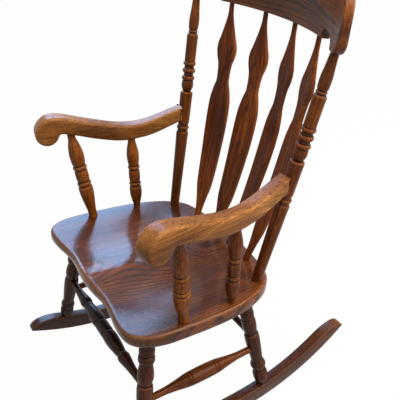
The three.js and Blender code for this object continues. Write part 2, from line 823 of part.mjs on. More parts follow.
function spindleMark(spec, sign) {
  return onSide(spec.inward(spec.mark, armLow + spec.mark.rise), sign);
}

// The arm runs from just ahead of the post's axis to past its front spindle. Runs are measured
// from the rear spindle's mark.
function armAxes(sign) {
  const rear = spindleMark(rearSpindle, sign).setZ(0);
  const front = spindleMark(frontSpindle, sign).setZ(0);
  const forward = front.clone().sub(rear).normalize();
  const across = forward.clone().cross(up);
  const { base, top } = postLine(sign);
  const post = base.lerp(top, armScrewHeight / top.z).setZ(0);
  const start = post.sub(rear).dot(forward) + armPostGap;
  const length = front.distanceTo(rear) + armFrontReach - start;
  return { rear, forward, across, start, length };
}

function armPoint(sign, fromEnd, height) {
  const { rear, forward, start } = armAxes(sign);
  return rear.addScaledVector(forward, start + fromEnd).setZ(height);
}

function armPlace(sign) {
  const { rear, forward, across } = armAxes(sign);
  return new THREE.Matrix4().makeBasis(forward, up, across).setPosition(rear);
}

// Drawn in its own plane, then widened unequally to its two sides: the inner side narrows
// towards the post.
function armGeometry(sign) {
  const { start, length } = armAxes(sign);
  const points = armOutlineShares.map(([run, rise]) => vec(
    start + run * length,
    armLow + rise * armRise,
    0,
  ));
  const curve = new THREE.CatmullRomCurve3(points, false, 'centripetal');
  const outline = curve.getSpacedPoints(armOutlineSteps);
  const shape = new THREE.Shape(outline.map((point) => new THREE.Vector2(point.x, point.y)));
  const half = armOuterHalfWidth;
  const depth = 2 * (half - armEdgeRound);
  const rail = new THREE.ExtrudeGeometry(shape, {
    depth,
    bevelEnabled: true,
    bevelThickness: armEdgeRound,
    bevelSize: armEdgeRound,
    bevelOffset: -armEdgeRound,
    bevelSegments: 2,
  });
  rail.translate(0, 0, -depth / 2);
  const { position } = rail.attributes;
  for (let index = 0; index < position.count; index += 1) {
    const inward = sign * position.getZ(index);
    if (inward > 0) {
      const share = (position.getX(index) - start) / length;
      const wide = THREE.MathUtils.lerp(armInnerHalfWidthAtPost, armInnerHalfWidth, share);
      position.setZ(index, sign * inward * wide / half);
    }
  }
  return rail;
}

// The post, made wider by the clearance, shapes the coped end of the arm.
function postClear(sign) {
  const { base, top } = postLine(sign);
  const length = base.distanceTo(top);
  const shares = postShares.map(([run, radius]) => [run, radius + clearance / postRadius]);
  return turned(shares, length, postRadius, postSides).applyMatrix4(alongLine(base, top));
}

for (const side of sides) {
  const name = `${side.name}_arm`;
  addPiece(name, armGeometry(side.sign), oak, armPlace(side.sign));
  cut(name, postClear(side.sign));
}

for (const side of sides) {
  for (const spec of [frontSpindle, rearSpindle]) {
    const base = onSide(spec.inward(spec.inset, 0), side.sign);
    const top = spindleMark(spec, side.sign);
    const body = tenoned(
      spec.shares,
      base.distanceTo(top),
      spec.radius,
      spindleTenonLength,
      spindleTenonLength,
      spindleSides,
    );
    addPiece(`${spec.name}_${side.name}_arm_spindle`, body, oakTurned, alongLine(base, top));
    const endRadii = [spec.shares[0], spec.shares.at(-1)].map(([, share]) => share * spec.radius);
    socketFor('seat', top, base, endRadii[0], spindleTenonLength);
    socketFor(`${side.name}_arm`, base, top, endRadii[1], spindleTenonLength);
  }
}

// Arrow slats. Each row is the share of the height, of the widest width and of the thickness,
// and how far the section is from round to flat.
const slatShares = [
  [0, 0.25, 1.4, 0], [0.05, 0.34, 1.15, 0.4], [0.1, 0.49, 1, 0.8], [0.162, 0.7, 1, 1],
  [0.25, 0.81, 1, 1], [0.34, 0.89, 1, 1], [0.43, 0.96, 1, 1], [0.5, 0.98, 1, 1], [0.56, 0.94, 1, 1],
  [0.62, 0.74, 1, 1], [0.665, 0.53, 1, 1], [0.7, 0.54, 1, 1], [0.735, 0.61, 1, 1],
  [0.77, 0.8, 1, 1], [0.797, 0.87, 1, 1], [0.82, 0.83, 1, 1], [0.85, 0.67, 1, 0.9],
  [0.885, 0.5, 1, 0.7], [0.92, 0.34, 1, 0.4], [0.96, 0.21, 1, 0], [1, 0.175, 1, 0],
];
const slatSides = 10;
const flatPower = 0.45;

function slatAxis(spec, sign) {
  const turn = THREE.MathUtils.degToRad(spec.turn);
  const out = vec(sign * Math.sin(turn), Math.cos(turn), 0);
  const across = vec(Math.cos(turn), -sign * Math.sin(turn), 0);
  const base = vec(sign * spec.baseX, seatBack - spec.baseInset, 0);
  const top = crestFrame(sign * spec.topShare * crestNotchStart).origin;
  const bend = out.clone().multiplyScalar(4 * spec.bow);
  const run = top.clone().sub(base);
  const at = (share) => base.clone().addScaledVector(run, share)
    .addScaledVector(bend, share * (1 - share));
  const heading = (share) => run.clone().addScaledVector(bend, 1 - 2 * share).normalize();
  return { base, top, across, at, heading };
}

function slatRing(centre, heading, across, halfWidth, halfThickness, flatness) {
  const depth = heading.clone().cross(across).normalize();
  const power = 1 - (1 - flatPower) * flatness;
  const ring = [];
  for (let side = 0; side < slatSides; side += 1) {
    const turn = 2 * Math.PI * (side + 0.5) / slatSides;
    const wide = Math.sign(Math.cos(turn)) * Math.abs(Math.cos(turn)) ** power;
    const deep = Math.sign(Math.sin(turn)) * Math.abs(Math.sin(turn)) ** power;
    ring.push(centre.clone()
      .addScaledVector(across, halfWidth * wide)
      .addScaledVector(depth, halfThickness * deep));
  }
  return ring;
}

function slatGeometry(axis) {
  const rings = slatShares.map(([share, width, thickness, flatness]) => slatRing(
    axis.at(share),
    axis.heading(share),
    axis.across,
    width * slatWidth / 2,
    thickness * slatThickness / 2,
    flatness,
  ));
  const first = rings[0];
  const last = rings[rings.length - 1];
  const down = axis.heading(0).multiplyScalar(-slatTenonLength);
  const rise = axis.heading(1).multiplyScalar(slatTenonLength);
  rings.unshift(first.map((point) => point.clone().add(down)));
  rings.push(last.map((point) => point.clone().add(rise)));
  return cappedLoft(rings);
}

const slatSpecs = [
  { spec: outerSlat, sign: -1 },
  { spec: innerSlat, sign: -1 },
  { spec: innerSlat, sign: 1 },
  { spec: outerSlat, sign: 1 },
];

slatSpecs.forEach(({ spec, sign }, index) => {
  const axis = slatAxis(spec, sign);
  addPiece(`back_slat_${index + 1}`, slatGeometry(axis), oak);
  const below = axis.base.clone().add(axis.heading(0));
  const above = axis.top.clone().sub(axis.heading(1));
  const [baseRadius, topRadius] = [slatShares[0], slatShares.at(-1)]
    .map(([, width, thickness]) => Math.max(width * slatWidth, thickness * slatThickness) / 2);
  socketFor('seat', below, axis.base, baseRadius, slatTenonLength);
  socketFor('crest_rail', above, axis.top, topRadius, slatTenonLength);
});

// A screw from behind each post draws the arm's end up to it, under a round wooden plug.
function armScrewGeometry(length) {
  const outline = [
    [0, 0], [armScrewRadius, 0], [armScrewRadius, length - armScrewHeadLength],
    [armScrewHeadRadius, length], [0, length],
  ];
  const profile = outline.map(([radius, height]) => new THREE.Vector2(radius, height));
  return new THREE.LatheGeometry(profile, screwSides).rotateX(Math.PI / 2);
}

function armPlugGeometry() {
  const outline = [
    [0, 0], [armPlugRadius, 0], [armPlugRadius, armPlugLength],
    [armPlugRadius / 2, armPlugLength + armPlugCrown], [0, armPlugLength + armPlugCrown],
  ];
  const profile = outline.map(([radius, height]) => new THREE.Vector2(radius, height));
  return new THREE.LatheGeometry(profile, screwSides).rotateX(Math.PI / 2);
}

for (const side of sides) {
  const post = `${side.name}_back_post`;
  const arm = `${side.name}_arm`;
  const { base, top } = postLine(side.sign);
  const centre = base.clone().lerp(top, armScrewHeight / top.z);
  const tip = armPoint(side.sign, armScrewReach, armScrewHeight - armScrewDrop);
  const back = extended(tip, centre, postRadius * armPlugSeatShare);
  const plugFloor = extended(tip, back, -armPlugLength);
  const head = extended(tip, plugFloor, -clearance);
  const screwTip = extended(tip, head, -armScrewLength);
  const boreRadius = clearAround(armScrewRadius, screwSides);
  const bore = rodBetween(extended(head, screwTip, clearance), plugFloor, boreRadius, screwSides);
  const headRoom = rodBetween(
    extended(plugFloor, extended(tip, head, -armScrewHeadLength), clearance),
    extended(tip, back, cutOverrun),
    clearAround(armPlugRadius, screwSides),
    screwSides,
  );
  cut(post, bore, headRoom);
  cut(arm, bore);
  addPiece(`${side.name}_arm_screw`, armScrewGeometry(armScrewLength), steel, alongLine(screwTip, head));
  addPiece(`${side.name}_arm_plug`, armPlugGeometry(), oak, alongLine(plugFloor, back));
}

// A pin from behind the crest rail through each post's tenon
for (const side of sides) {
  const { base, top } = postLine(side.sign);
  const middle = extended(base, top, postTenonLength / 2);
  const { back } = crestFrame(side.sign * (crestHalfRun - postTopInset));
  const outer = middle.clone().addScaledVector(back, crestThickness / 2);
  const inner = middle.clone().addScaledVector(back, crestThickness / 2 - crestPinLength);
  drivePin(`${side.name}_crest_pin`, outer, inner, 'crest_rail', `${side.name}_back_post`);
}

// The finished chair
const order = [...pieces.keys()];
for (const name of order) {
  const { solid, material, place } = pieces.get(name);
  const geometry = toGeometry(solid);
  geometry.applyMatrix4(place.clone().invert());
  geometry.computeVertexNormals();
  const mesh = new THREE.Mesh(geometry, new THREE.MeshStandardMaterial(material));
  mesh.name = name;
  mesh.applyMatrix4(place);
  chair.add(mesh);
}

// Leaned back to its rest, then set down with the middle of its box over the origin
chair.rotation.x = -THREE.MathUtils.degToRad(restLean);
chair.updateMatrixWorld(true);
const box = new THREE.Box3().setFromObject(chair, true);
chair.position.set(0, -(box.min.y + box.max.y) / 2, -box.min.z);

export default chair;
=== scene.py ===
"""A boston rocking chair in stained oak, in a plain bright studio. Lengths are metres.

Each piece is worked out in the seat's own frame: the seat top is z = 0, +x is the sitter's
left and +y is the back. SEAT_TO_WORLD leans that frame back to the way the chair rests.
"""

import json
import math

import bmesh
import bpy
import numpy as np
from mathutils import Matrix, Vector


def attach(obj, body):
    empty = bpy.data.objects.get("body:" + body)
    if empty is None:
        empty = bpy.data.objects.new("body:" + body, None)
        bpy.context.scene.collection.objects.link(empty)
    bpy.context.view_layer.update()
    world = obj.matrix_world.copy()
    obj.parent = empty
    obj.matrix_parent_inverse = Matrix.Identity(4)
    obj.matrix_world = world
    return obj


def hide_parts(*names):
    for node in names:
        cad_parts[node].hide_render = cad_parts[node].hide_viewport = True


# How the seat's frame stands in the world
REST_LEAN = math.radians(8.3)
SEAT_ORIGIN = (0.0, -0.07237, 0.40177)
SEAT_TO_WORLD = Matrix.Translation(SEAT_ORIGIN) @ Matrix.Rotation(-REST_LEAN, 4, "X")

# Seat board
SEAT_HALF_WIDTH = 0.279
SEAT_DEPTH = 0.447
SEAT_FRONT = -0.1905
SEAT_BACK = SEAT_FRONT + SEAT_DEPTH
SEAT_THICKNESS = 0.036
SEAT_EDGE_ROUND = 0.009
SEAT_UNDERCUT_INSET = 0.006
SEAT_UNDERCUT_RISE = 0.008
SEAT_FRONT_UNDERCUT = 0.017
SEAT_FRONT_UNDERCUT_REACH = 0.095
SADDLE_DEPTH = 0.011
SADDLE_SPREAD = 0.112
SADDLE_LOBE_WIDTH = 0.092
SADDLE_LOBE_REACH = 0.178
SADDLE_CENTRE = -0.010
POMMEL_WIDTH = 0.046
POMMEL_RISE = 0.005
POMMEL_REACH = 0.120

# Rockers: a sole of three arcs, with runs measured along it from its lowest point
ROCKER_FRONT_RADIUS = 0.760
ROCKER_MIDDLE_RADIUS = 1.000
ROCKER_BACK_RADIUS = 0.562
ROCKER_MIDDLE_RUN = 0.162
ROCKER_LOWEST = (0.011, -0.394)
ROCKER_HEIGHT = 0.044
ROCKER_THICKNESS = 0.029
ROCKER_OFFSET = 0.2556
ROCKER_FRONT_RUN = 0.277
ROCKER_BACK_RUN = 0.518
ROCKER_NOSE_LENGTH = 0.080
ROCKER_NOSE_DROP = 0.041
ROCKER_EDGE_ROUND = 0.003
SOLE_LIFT = 0.0002

# Legs and stretchers
FRONT_LEG = {"radius": 0.0206, "inset": (0.0685, 0.0726), "foot_run": -0.171}
REAR_LEG = {"radius": 0.0206, "inset": (0.073, 0.1045), "foot_run": 0.222}
FRONT_STRETCHER_RADIUS = 0.0188
SIDE_STRETCHER_RADIUS = 0.019
BACK_STRETCHER_RADIUS = 0.011
STRETCHER_TENON_REACH = 0.006
STRETCHER_LEG_SHARES = {"front": 0.53, "side_front": 0.655, "side_rear": 0.585, "back": 0.44}

# Back posts
POST_RADIUS = 0.0175
POST_INSET = (0.0712, 0.0671)
POST_TOP_INSET = 0.045

# Arms
ARM_OUTER_HALF_WIDTH = 0.021
ARM_INNER_HALF_WIDTH = 0.027
ARM_INNER_HALF_WIDTH_AT_POST = 0.016
ARM_EDGE_ROUND = 0.007
ARM_FRONT_REACH = 0.093
ARM_POST_GAP = 0.0146
ARM_RISE = 0.086
ARM_LOW = 0.221
ARM_SCREW_HEIGHT = 0.292
ARM_SCREW_REACH = 0.048
ARM_SCREW_DROP = 0.014
ARM_PLUG_RADIUS = 0.0052
ARM_PLUG_LENGTH = 0.006
ARM_PLUG_CROWN = 0.0012
ARM_PLUG_SEAT_SHARE = 0.95

# Arm spindles: where they stand on the seat, and the marks where their axes meet the arm
FRONT_SPINDLE = {
    "radius": 0.020, "inset": (0.0245, 0.1374), "mark": (-0.0125, 0.0914), "rise": 0.0295,
}
REAR_SPINDLE = {
    "radius": 0.0176, "inset": (0.0306, 0.1727), "mark": (0.020, 0.1898), "rise": 0.0005,
}

# Arrow slats
SLAT_WIDTH = 0.068
SLAT_THICKNESS = 0.012
SLAT_CORNER_ROUND = 0.0035
SLAT_CORNER_FULLNESS = 0.6
OUTER_SLAT = {"base_x": 0.123, "base_inset": 0.0385, "top_share": 0.855, "bow": 0.017, "turn": 19}
INNER_SLAT = {"base_x": 0.037, "base_inset": 0.0325, "top_share": 0.281, "bow": 0.023, "turn": 13}

# Crest rail
CREST_PLAN_RADIUS = 0.520
CREST_MIDDLE_BEHIND_SEAT = 0.077
CREST_HALF_RUN = 0.326
CREST_THICKNESS = 0.022
CREST_BACK_TAPER = 0.003
CREST_EDGE_ROUND = 0.005
CREST_BOTTOM = 0.594
CREST_HEIGHT = 0.142
CREST_END_HEIGHT = 0.130
CREST_END_ROUND = 0.075
CREST_NOTCH_START_INSET = 0.126
CREST_NOTCH_START = CREST_HALF_RUN - CREST_NOTCH_START_INSET
CREST_NOTCH_TOP_INSET = 0.108
CREST_NOTCH_TOP = CREST_HALF_RUN - CREST_NOTCH_TOP_INSET
CREST_NOTCH_END_INSET = 0.058
CREST_NOTCH_END = CREST_HALF_RUN - CREST_NOTCH_END_INSET
CREST_NOTCH_LIFT = 0.0036
CREST_NOTCH_HEIGHT = 0.021
CREST_EAR_DROP = 0.008
CREST_EAR_ROUND = 0.038
CREST_LEAN = math.radians(3.5)

# How far the drawn ends of turned pieces and slats go into their neighbours
SINK = 0.005
STRETCHER_SINK = 0.001

# Where each sawn piece lies in its tree: along the trunk, and across it from the pith
SEAT_IN_TREE = (2.3, 0.012, 0.085)
ROCKER_IN_TREE = (3.1, 0.02, 0.05)
CREST_IN_TREE = (5.7, -0.062, 0.07)
ARM_IN_TREE = (1.7, 0.03, 0.04)
SLAT_FROM_PITH = ((-0.03, 0.03), (0.03, 0.07))
TURNED_FROM_PITH = 0.045
TRUNK_REACH = 4.0
GRAIN_SEED = 7

# How strongly each piece's edges are lightened, as wear and as a painted highlight, and how dark the
# painted shade lies under the crest rail's notches
SEAT_WEAR_AND_HIGHLIGHT = 0.8
SEAT_UNDERSIDE_WEAR_AND_HIGHLIGHT = 0.3
ROCKER_WEAR_AND_HIGHLIGHT = 0.8
CREST_WEAR_AND_HIGHLIGHT = 0.8
ARM_WEAR_AND_HIGHLIGHT = 0.45
SLAT_WEAR_AND_HIGHLIGHT = 0.7
NOTCH_SHADE = 1.6

# Fineness of the meshes
SHARP_ANGLE = 40.0
TURNED_SIDES = 40
ROUND_STEPS = 5
ROW_SPACING = 0.005
ROWS_PER_STEP = 5
CURVE_STEPS = 24

# Camera: found from the photograph in the seat's frame, angles in degrees
CAMERA_AZIMUTH = 55.86
CAMERA_ELEVATION = 29.4
CAMERA_ROLL = 4.52
CAMERA_DISTANCE = 1.5555
CAMERA_TARGET = (0.0006, 0.1396, 0.1352)
CAMERA_LENS = 53.49
CAMERA_SENSOR = 36.0


def vec(x, y, z):
    return np.array([x, y, z], float)


def unit(vector):
    return vector / np.linalg.norm(vector)


def in_from_front(inset, z, sign):
    return vec(sign * (SEAT_HALF_WIDTH - inset[0]), SEAT_FRONT + inset[1], z)


def in_from_back(inset, z, sign):
    return vec(sign * (SEAT_HALF_WIDTH - inset[0]), SEAT_BACK - inset[1], z)


# Curves and profiles


def smooth_curve(points, count, closed=False):
    """Evenly spaced points along a centripetal Catmull-Rom curve through the given ones."""
    points = np.asarray(points, float)
    if closed:
        knots = np.vstack([points[-1:], points, points[:2]])
    else:
        knots = np.vstack([2 * points[:1] - points[1:2], points, 2 * points[-1:] - points[-2:-1]])
    share = np.linspace(0, 1, CURVE_STEPS, endpoint=False)[:, None]
    dense = []
    for p0, p1, p2, p3 in zip(knots, knots[1:], knots[2:], knots[3:]):
        d0, d1, d2 = (math.sqrt(np.linalg.norm(b - a)) for a, b in ((p0, p1), (p1, p2), (p2, p3)))
        start = ((p1 - p0) / d0 - (p2 - p0) / (d0 + d1) + (p2 - p1) / d1) * d1
        end = ((p2 - p1) / d1 - (p3 - p1) / (d1 + d2) + (p3 - p2) / d2) * d1
        dense.append(hermite(p1, p2, start, end, share))
    dense = np.vstack([*dense, knots[-2:-1]])
    run = np.concatenate([[0], np.cumsum(np.linalg.norm(np.diff(dense, axis=0), axis=1))])
    wanted = np.linspace(0, run[-1], count, endpoint=not closed)
    return np.stack([np.interp(wanted, run, column) for column in dense.T], 1)


def hermite(start, end, start_slope, end_slope, share):
    square = share * share
    cube = square * share
    return (
        start * (2 * cube - 3 * square + 1)
        + start_slope * (cube - 2 * square + share)
        + end * (3 * square - 2 * cube)
        + end_slope * (cube - square)
    )


def monotone(knots, values, at, crease_fullness=0.0, corner_fullness=0.0):
    """Smooth values through the knots without overshoot. With a crease fullness, each local
    minimum is left as a sharp groove whose walls swell out by that much. With a corner fullness,
    each local maximum is left as a blunt corner."""
    knots, values, at = (np.asarray(item, float) for item in (knots, values, at))
    secants = np.diff(values) / np.diff(knots)
    arriving = np.concatenate([secants[:1], np.zeros(len(knots) - 2), secants[-1:]])
    for index in range(1, len(knots) - 1):
        before, after = secants[index - 1], secants[index]
        if before * after > 0:
            arriving[index] = 2 / (1 / before + 1 / after)
    leaving = arriving.copy()
    for index in range(1, len(knots) - 1):
        before, after = secants[index - 1], secants[index]
        if before * after < 0:
            fullness = crease_fullness if before < 0 else corner_fullness
            arriving[index], leaving[index] = fullness * before, fullness * after
    row = np.clip(np.searchsorted(knots, at, side="right") - 1, 0, len(knots) - 2)
    width = np.diff(knots)[row]
    share = (at - knots[row]) / width
    slopes = leaving[row] * width, arriving[row + 1] * width
    return hermite(values[row], values[row + 1], *slopes, share)


def fine_rows(knots, length):
    """Shares along a profile: a few between each two knots, and no wider than ROW_SPACING."""
    rows = []
    for low, high in zip(knots, knots[1:]):
        steps = max(ROWS_PER_STEP, math.ceil((high - low) * length / ROW_SPACING))
        rows.extend(np.linspace(low, high, steps, endpoint=False))
    return np.array([*rows, knots[-1]])


def inward_normals(outline):
    """In the plane of a closed outline that runs counterclockwise."""
    along = np.roll(outline, -1, 0) - np.roll(outline, 1, 0)
    normals = np.stack([-along[:, 1], along[:, 0]], 1)
    return normals / np.linalg.norm(normals, axis=1)[:, None]


# Meshes

GROOVE_FULLNESS = 1.6
GROOVE_DEPTH = 0.0011
EDGE_SAMPLE = 0.0005
GROOVE_SAMPLES = 9
BEAD_FLATNESS = 0.75
BEAD_ROWS = 11
SCORE_HALF_WIDTH = 0.0013
SCORE_DEPTH = 0.0011
SCORE_ROWS = 5
MIN_ROW_GAP = 0.00012
ROW_DIGITS = 6
BEAD_REACH_SHARE = 0.999
SIDEWAYS_SHARE = 0.7

rng = np.random.default_rng(GRAIN_SEED)


def add_piece(name, rings, grain, fibre, edge, finish):
    """A closed skin through rings of points. The grain tells how each point lies in its tree:
    along the trunk, and across it from the pith, and the fibre is its trunk's direction here.
    The edge is 1 on worn edges that also get a painted highlight, and -1 in grooves that get painted
    shade."""
    rows, count = rings.shape[:2]
    faces = [tuple(range(count)), tuple(range((rows - 1) * count, rows * count))]
    for row in range(rows - 1):
        for side in range(count):
            a = row * count + side
            b = row * count + (side + 1) % count
            faces.append((a, b, b + count, a + count))
    mesh = bpy.data.meshes.new(name)
    mesh.from_pydata(rings.reshape(-1, 3).tolist(), [], faces)
    mesh.transform(SEAT_TO_WORLD)
    shape = bmesh.new()
    shape.from_mesh(mesh)
    bmesh.ops.recalc_face_normals(shape, faces=shape.faces)
    shape.to_mesh(mesh)
    shape.free()
    mesh.shade_smooth()
    mesh.set_sharp_from_angle(angle=math.radians(SHARP_ANGLE))
    normals = np.zeros((rows * count, 3), np.float32)
    mesh.vertices.foreach_get("normal", normals.ravel())
    fibres = np.broadcast_to(fibre, rings.shape).reshape(-1, 3) @ np.array(SEAT_TO_WORLD.to_3x3()).T
    end = np.sum(normals * fibres, 1) ** 2
    attribute = mesh.attributes.new("grain", "FLOAT_VECTOR", "POINT")
    attribute.data.foreach_set("vector", np.ascontiguousarray(grain, np.float32).ravel())
    scalars = {"edge": edge, "end": end.reshape(rows, count), "tone": rng.uniform(-1, 1)}
    for key, values in scalars.items():
        attribute = mesh.attributes.new(key, "FLOAT", "POINT")
        spread = np.broadcast_to(values, (rows, count))
        attribute.data.foreach_set("value", np.ascontiguousarray(spread, np.float32).ravel())
    mesh.materials.append(oaks[finish])
    obj = bpy.data.objects.new(f"{name}_wood", mesh)
    bpy.context.scene.collection.objects.link(obj)
    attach(obj, "root")
    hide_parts(name)
    return obj


def place_in_trunk():
    """Each turned piece comes from its own place in a trunk."""
    turn = rng.uniform(0, 2 * math.pi)
    along = rng.uniform(-TRUNK_REACH, TRUNK_REACH)
    return vec(along, TURNED_FROM_PITH * math.cos(turn), TURNED_FROM_PITH * math.sin(turn))


def turned_radii(at, length, radius, spec):
    """The radius at each share: vases and coves, then beads standing on them, then scores."""
    knots, values = np.array(spec["shares"]).T
    radii = radius * monotone(knots, values, at, GROOVE_FULLNESS)
    for place, half, peak in spec.get("beads", []):
        off = np.clip((at - place) * length / half, -1, 1)
        bead = radius * peak - half * BEAD_FLATNESS * (1 - np.sqrt(1 - off**2))
        radii = np.where(np.abs(off) < 1, np.maximum(radii, bead), radii)
    for place in spec.get("scores", []):
        off = np.abs(at - place) * length / SCORE_HALF_WIDTH
        radii = radii - SCORE_DEPTH * np.clip(1 - off, 0, 1)
    return radii


def turned(name, start, end, radius, spec, finish, sinks=(SINK, SINK)):
    """A turned piece whose profile runs from start to end, and on into its neighbours."""
    axis = end - start
    length = np.linalg.norm(axis)
    axis = axis / length
    at = [fine_rows([share for share, _ in spec["shares"]], length)]
    bow = np.sin(np.linspace(-math.pi / 2, math.pi / 2, BEAD_ROWS))
    for place, half, _ in spec.get("beads", []):
        at.append(place + BEAD_REACH_SHARE * bow * half / length)
    for place in spec.get("scores", []):
        at.append(place + np.linspace(-1, 1, SCORE_ROWS) * SCORE_HALF_WIDTH / length)
    at = np.unique(np.round(np.concatenate(at), ROW_DIGITS))
    at = at[np.concatenate([[True], np.diff(at) * length > MIN_ROW_GAP])]
    radii = turned_radii(at, length, radius, spec)
    at = np.concatenate([[-sinks[0] / length], at, [1 + sinks[1] / length]])
    radii = np.concatenate([radii[:1], radii, radii[-1:]])
    run = at * length
    even = np.arange(run[0], run[-1], EDGE_SAMPLE)
    window = np.ones(2 * GROOVE_SAMPLES + 1) / (2 * GROOVE_SAMPLES + 1)
    padded = np.pad(np.interp(even, run, radii), GROOVE_SAMPLES, mode="edge")
    smooth = np.interp(run, even, np.convolve(padded, window, mode="valid"))
    # Grooves get painted shade, bead crests wear and a painted highlight
    edge = np.clip((radii - smooth) / GROOVE_DEPTH, -1, 1)
    helper = vec(1, 0, 0) if abs(axis[0]) < SIDEWAYS_SHARE else vec(0, 1, 0)
    side = unit(np.cross(axis, helper))
    other = np.cross(axis, side)
    turn = np.linspace(0, 2 * math.pi, TURNED_SIDES, endpoint=False)
    across = np.cos(turn)[:, None] * side + np.sin(turn)[:, None] * other
    rings = (start + run[:, None] * axis)[:, None, :] + radii[:, None, None] * across[None]
    grain = np.stack(np.broadcast_arrays(
        run[:, None],
        radii[:, None] * np.cos(turn)[None],
        radii[:, None] * np.sin(turn)[None],
    ), 2) + place_in_trunk()
    return add_piece(name, rings, grain, axis, edge[:, None], finish)


def rounded_plate(outline, half_depth, edge_round):
    """Rings of (u, v, depth) for a plate with rounded edges, and the edge value of each."""
    turn = np.linspace(0, math.pi / 2, ROUND_STEPS + 1)
    inset = edge_round * (1 - np.sin(turn))
    depth = half_depth - edge_round * (1 - np.cos(turn))
    insets = np.concatenate([inset, inset[::-1]])
    depths = np.concatenate([-depth, depth[::-1]])
    # The edge value peaks half-way round each rounded edge, which is lightened as wear and as a
    # painted highlight
    bend = np.sin(2 * turn)
    normals = inward_normals(outline)
    rings = []
    for step, level in zip(insets, depths):
        points = outline + step * normals
        rings.append(np.column_stack([points, np.full(len(points), level)]))
    return np.array(rings), np.concatenate([bend, bend[::-1]])[:, None]


# Materials


class Nodes:
    """Adds nodes to a material or world, and links the inputs that are sockets."""

    def __init__(self, tree):
        self.tree = tree
        tree.nodes.clear()

    def add(self, kind, inputs=None, **settings):
        node = self.tree.nodes.new(kind)
        for key, value in settings.items():
            setattr(node, key, value)
        for key, value in (inputs or {}).items():
            if isinstance(value, bpy.types.NodeSocket):
                self.tree.links.new(value, node.inputs[key])
            else:
                node.inputs[key].default_value = value
        return node

    def math(self, operation, *values):
        node = self.add("ShaderNodeMath", dict(enumerate(values)), operation=operation)
        return node.outputs[0]

    def plus(self, first, second):
        return self.math("ADD", first, second)

    def times(self, first, second):
        return self.math("MULTIPLY", first, second)

    def span(self, value, low, high, to_low=0.0, to_high=1.0):
        """The value's share between low and high, held to the range it is mapped to."""
        inputs = {"Value": value, "From Min": low, "From Max": high}
        inputs |= {"To Min": to_low, "To Max": to_high}
        return self.add("ShaderNodeMapRange", inputs).outputs["Result"]

    def noise(self, place, stretch, detail=2.0, roughness=0.5):
        scaled = self.add(
            "ShaderNodeVectorMath", {0: place, 1: stretch}, operation="MULTIPLY",
        ).outputs[0]
        inputs = {"Vector": scaled, "Scale": 1.0, "Detail": detail, "Roughness": roughness}
        return self.add("ShaderNodeTexNoise", inputs).outputs["Fac"]

    def mix(self, share, first, second):
        """A colour from the first to the second; the sockets have no names of their own."""
        inputs = {0: share, 6: first, 7: second}
        return self.add("ShaderNodeMix", inputs, data_type="RGBA").outputs[2]


def new_material(name):
    material = bpy.data.materials.new(name)
    material.use_nodes = True
    return material, Nodes(material.node_tree)


def colour(red, green, blue):
    """A display colour, 0 to 255 a channel, as scene values."""
    parts = []
    for channel in (red, green, blue):
        share = channel / 255
        parts.append(share / 12.92 if share <= 0.04045 else ((share + 0.055) / 1.055) ** 2.4)
    return (*parts, 1.0)


# Oak. A stretch is how finely noise varies along and across the grain, and a span is where a
# value takes effect, with the range it is mapped to where that isn't 0 to 1.
NOISE_MIDDLE = 0.5
WANDER_STRETCH = (2.6, 3.0, 3.0)
SIDE_DRIFT_SHARE = 0.5
RIPPLE_STRETCH = (9.0, 45.0, 45.0)
RIPPLE_SHARE = 0.6
EARLY_RISE = (0.0, 0.08)
EARLY_FALL = (0.12, 0.4, 1.0, 0.0)
LENGTHWISE_SPAN = (0.1, 0.8, 1.0, 0.25)
DASH_STRETCH = (30.0, 400.0, 400.0)
DASH_SPAN = (0.52, 0.6)
DASH_IN_EARLY = (0.0, 1.0, 0.5, 1.0)
FINE_STRETCH = (90.0, 1000.0, 1000.0)
FINE_SPAN = (0.5, 0.64)
FINE_STRENGTH = 0.6
STREAK_STRETCH = (5.0, 260.0, 260.0)
STREAK_ROUGHNESS = 0.6
STREAK_WEIGHT = 0.8
CLOUD_STRETCH = (4.0, 14.0, 14.0)
CLOUD_WEIGHT = 1.2
TONE_WEIGHT = 0.05
MIDDLE_SPAN = (0.72, 0.98)
LIGHT_SPAN = (0.98, 1.26)
PORE_STRENGTH = 0.8
WORN_AND_HIGHLIGHT_SPAN = (0.2, 1.0)
WORN_AND_HIGHLIGHT_STRENGTH = 0.22
PAINTED_SHADE_SPAN = (-0.1, -0.9)
PAINTED_SHADE_STRENGTH = 0.85
PORE_ROUGHNESS = (0.0, 1.0, 0.36, 0.55)
CLOUD_ROUGHNESS = (0.3, 0.7, -0.04, 0.06)
EARLY_SUNK_SHARE = 0.3
WOOD_RELIEF = {"Strength": 0.4, "Distance": 0.0004}
LACQUER_RELIEF = {"Strength": 0.2, "Distance": 0.0002}
WOOD_IOR = 1.5
WOOD_SPECULAR = 0.05
PORE = colour(38, 16, 5)
# Edges are lightened towards this colour, as wear and as a painted highlight
WORN_AND_HIGHLIGHT = colour(206, 134, 66)
# Painted shade, laid in grooves and under the crest rail's notches
PAINTED_SHADE = colour(28, 12, 4)


